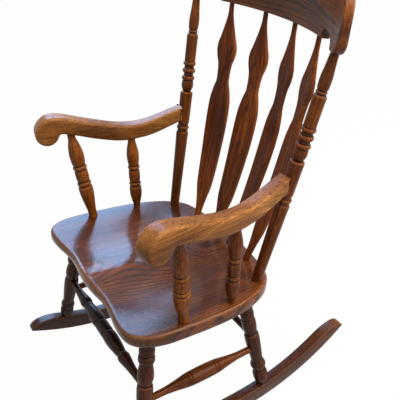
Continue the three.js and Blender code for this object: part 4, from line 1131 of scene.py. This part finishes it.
def make_slat(name, slat, sign):
    turn = math.radians(slat["turn"])
    out = vec(sign * math.sin(turn), math.cos(turn), 0)
    across = vec(math.cos(turn), -sign * math.sin(turn), 0)
    base = vec(sign * slat["base_x"], SEAT_BACK - slat["base_inset"], 0)
    top = crest_frame(sign * slat["top_share"] * CREST_NOTCH_START)[0]
    run, bend = top - base, 4 * slat["bow"] * out
    length = np.linalg.norm(run)
    table = np.array(SLAT_SHARES)
    at = fine_rows(table[:, 0], length)
    width, thickness, flatness = (
        monotone(table[:, 0], column, at, corner_fullness=SLAT_CORNER_FULLNESS)
        for column in table.T[1:]
    )
    at[0], at[-1] = -SINK / length, 1 + SINK / length
    rings, grain, fibres, edges = [], [], [], []
    for share, w, t, flat in zip(at, width, thickness, flatness):
        centre = base + run * share + bend * share * (1 - share)
        heading = unit(run + bend * (1 - 2 * share))
        depth = unit(np.cross(heading, across))
        section = slat_section(w * SLAT_WIDTH / 2, t * SLAT_THICKNESS / 2, min(max(flat, 0), 1))
        rings.append(centre + section[:, :1] * across + section[:, 1:2] * depth)
        along = np.full(len(section), share * length)
        grain.append(np.column_stack([along, section[:, 0], section[:, 1]]))
        fibres.append([heading])
        edges.append(section[:, 2])
    along = rng.uniform(-TRUNK_REACH, TRUNK_REACH)
    grain = np.array(grain) + vec(along, *(rng.uniform(*reach) for reach in SLAT_FROM_PITH))
    add_piece(name, np.array(rings), grain, np.array(fibres), np.array(edges), "oak_slat_painted_lighter")


def make_slats():
    order = ((OUTER_SLAT, -1), (INNER_SLAT, -1), (INNER_SLAT, 1), (OUTER_SLAT, 1))
    for index, (slat, sign) in enumerate(order):
        make_slat(f"back_slat_{index + 1}", slat, sign)


# Fasteners keep their solids
def dress_fasteners():
    for part in frame["record"]["subparts"]:
        if part["material_slot"] == "steel":
            obj = frame["nodes"][part["node"]]
            obj.data.materials.clear()
            obj.data.materials.append(steel)


# Studio
FLOOR_SIZE = 14.0
FLOOR_TINT = colour(146, 143, 140)
FLOOR_GLOW = 1.06
FLOOR_GLOW_SHARE = 0.92
WHITE = (1.0, 1.0, 1.0, 1.0)
ROOM_TINT = colour(255, 246, 236)
ROOM_TURN = 50.0
ROOM_STRENGTHS = (0.06, 0.6)
# The window's blue shows in gloss alone: as light on the wood it would tint the stain.
LAMPS = {
    "key": {
        "place": (1.7, 1.6, 2.6), "size": (2.4, 2.4), "power": 84.0,
        "tint": (1.0, 0.92, 0.8), "in_gloss_only": False,
    },
    "fill": {
        "place": (0.1, 0.1, 3.1), "size": (2.8, 2.8), "power": 42.0,
        "tint": (1.0, 0.97, 0.93), "in_gloss_only": False,
    },
    "window": {
        "place": (-5.1, 1.45, 4.0), "size": (3.2, 4.2), "power": 570.0,
        "tint": (0.3, 0.56, 1.0), "in_gloss_only": True,
    },
}
LAMP_TARGET = (0.0, 0.0, 0.5)


def sees_background(n):
    """1 for the rays that the white background is for, and 0 for those that light the chair."""
    path = n.add("ShaderNodeLightPath").outputs
    mirrored = n.math("MAXIMUM", path["Is Glossy Ray"], path["Is Transmission Ray"])
    return n.math("MAXIMUM", path["Is Camera Ray"], mirrored)


def make_floor():
    """Plain white where it is seen, but for the shadow."""
    material, n = new_material("floor")
    share = n.times(sees_background(n), FLOOR_GLOW_SHARE)
    diffuse = n.add("ShaderNodeBsdfDiffuse", {"Color": FLOOR_TINT})
    glow = n.add("ShaderNodeEmission", {"Color": WHITE, "Strength": FLOOR_GLOW})
    surface = n.add("ShaderNodeMixShader", {0: share, 1: diffuse.outputs[0], 2: glow.outputs[0]})
    n.add("ShaderNodeOutputMaterial", {"Surface": surface.outputs[0]})
    bpy.ops.mesh.primitive_plane_add(size=FLOOR_SIZE)
    floor = bpy.context.object
    floor.name = "floor"
    floor.data.materials.append(material)


def make_world():
    """A softly lit room, brighter to one side, and plain white where it is seen."""
    world = bpy.data.worlds.new("studio")
    bpy.context.scene.world = world
    world.use_nodes = True
    n = Nodes(world.node_tree)
    view = n.add("ShaderNodeTexCoord").outputs["Generated"]
    axes = n.add("ShaderNodeSeparateXYZ", {"Vector": view}).outputs
    toward = math.radians(ROOM_TURN)
    across = n.times(axes["X"], math.cos(toward))
    across = n.plus(across, n.times(axes["Y"], math.sin(toward)))
    around = n.span(across, -1.0, 1.0, *ROOM_STRENGTHS)
    room = n.add("ShaderNodeBackground", {"Color": ROOM_TINT, "Strength": around})
    white = n.add("ShaderNodeBackground", {"Color": WHITE, "Strength": 1.0})
    surface = n.add("ShaderNodeMixShader", {
        0: sees_background(n), 1: room.outputs[0], 2: white.outputs[0],
    })
    n.add("ShaderNodeOutputWorld", {"Surface": surface.outputs[0]})


def make_lights():
    for name, spec in LAMPS.items():
        lamp = bpy.data.lights.new(name, "AREA")
        lamp.shape = "RECTANGLE"
        lamp.size, lamp.size_y = spec["size"]
        lamp.energy = spec["power"]
        lamp.color = spec["tint"]
        obj = bpy.data.objects.new(name, lamp)
        obj.location = spec["place"]
        obj.visible_camera = False
        obj.visible_diffuse = not spec["in_gloss_only"]
        heading = Vector(LAMP_TARGET) - Vector(spec["place"])
        obj.rotation_euler = heading.to_track_quat("-Z", "Y").to_euler()
        bpy.context.scene.collection.objects.link(obj)


def make_camera():
    azimuth, elevation, roll = map(math.radians, (CAMERA_AZIMUTH, CAMERA_ELEVATION, CAMERA_ROLL))
    flat = Vector((math.sin(azimuth), -math.cos(azimuth), 0))
    back = flat * math.cos(elevation) + Vector((0, 0, math.sin(elevation)))
    right = Vector((math.cos(azimuth), math.sin(azimuth), 0))
    up = back.cross(right)
    right, up = (
        right * math.cos(roll) + up * math.sin(roll),
        up * math.cos(roll) - right * math.sin(roll),
    )
    pose = Matrix((right, up, back)).transposed().to_4x4()
    pose.translation = Vector(CAMERA_TARGET) + back * CAMERA_DISTANCE
    data = bpy.data.cameras.new("camera")
    data.lens = CAMERA_LENS
    data.sensor_width = CAMERA_SENSOR
    camera = bpy.data.objects.new("camera", data)
    camera.matrix_world = SEAT_TO_WORLD @ pose
    bpy.context.scene.collection.objects.link(camera)
    bpy.context.scene.camera = camera


make_seat()
make_rockers()
make_legs()
make_stretchers()
make_crest()
make_posts()
make_spindles()
make_arms()
make_plugs()
make_slats()
dress_fasteners()
make_floor()
make_world()
make_lights()
make_camera()
bpy.context.scene.view_settings.view_transform = "Standard"
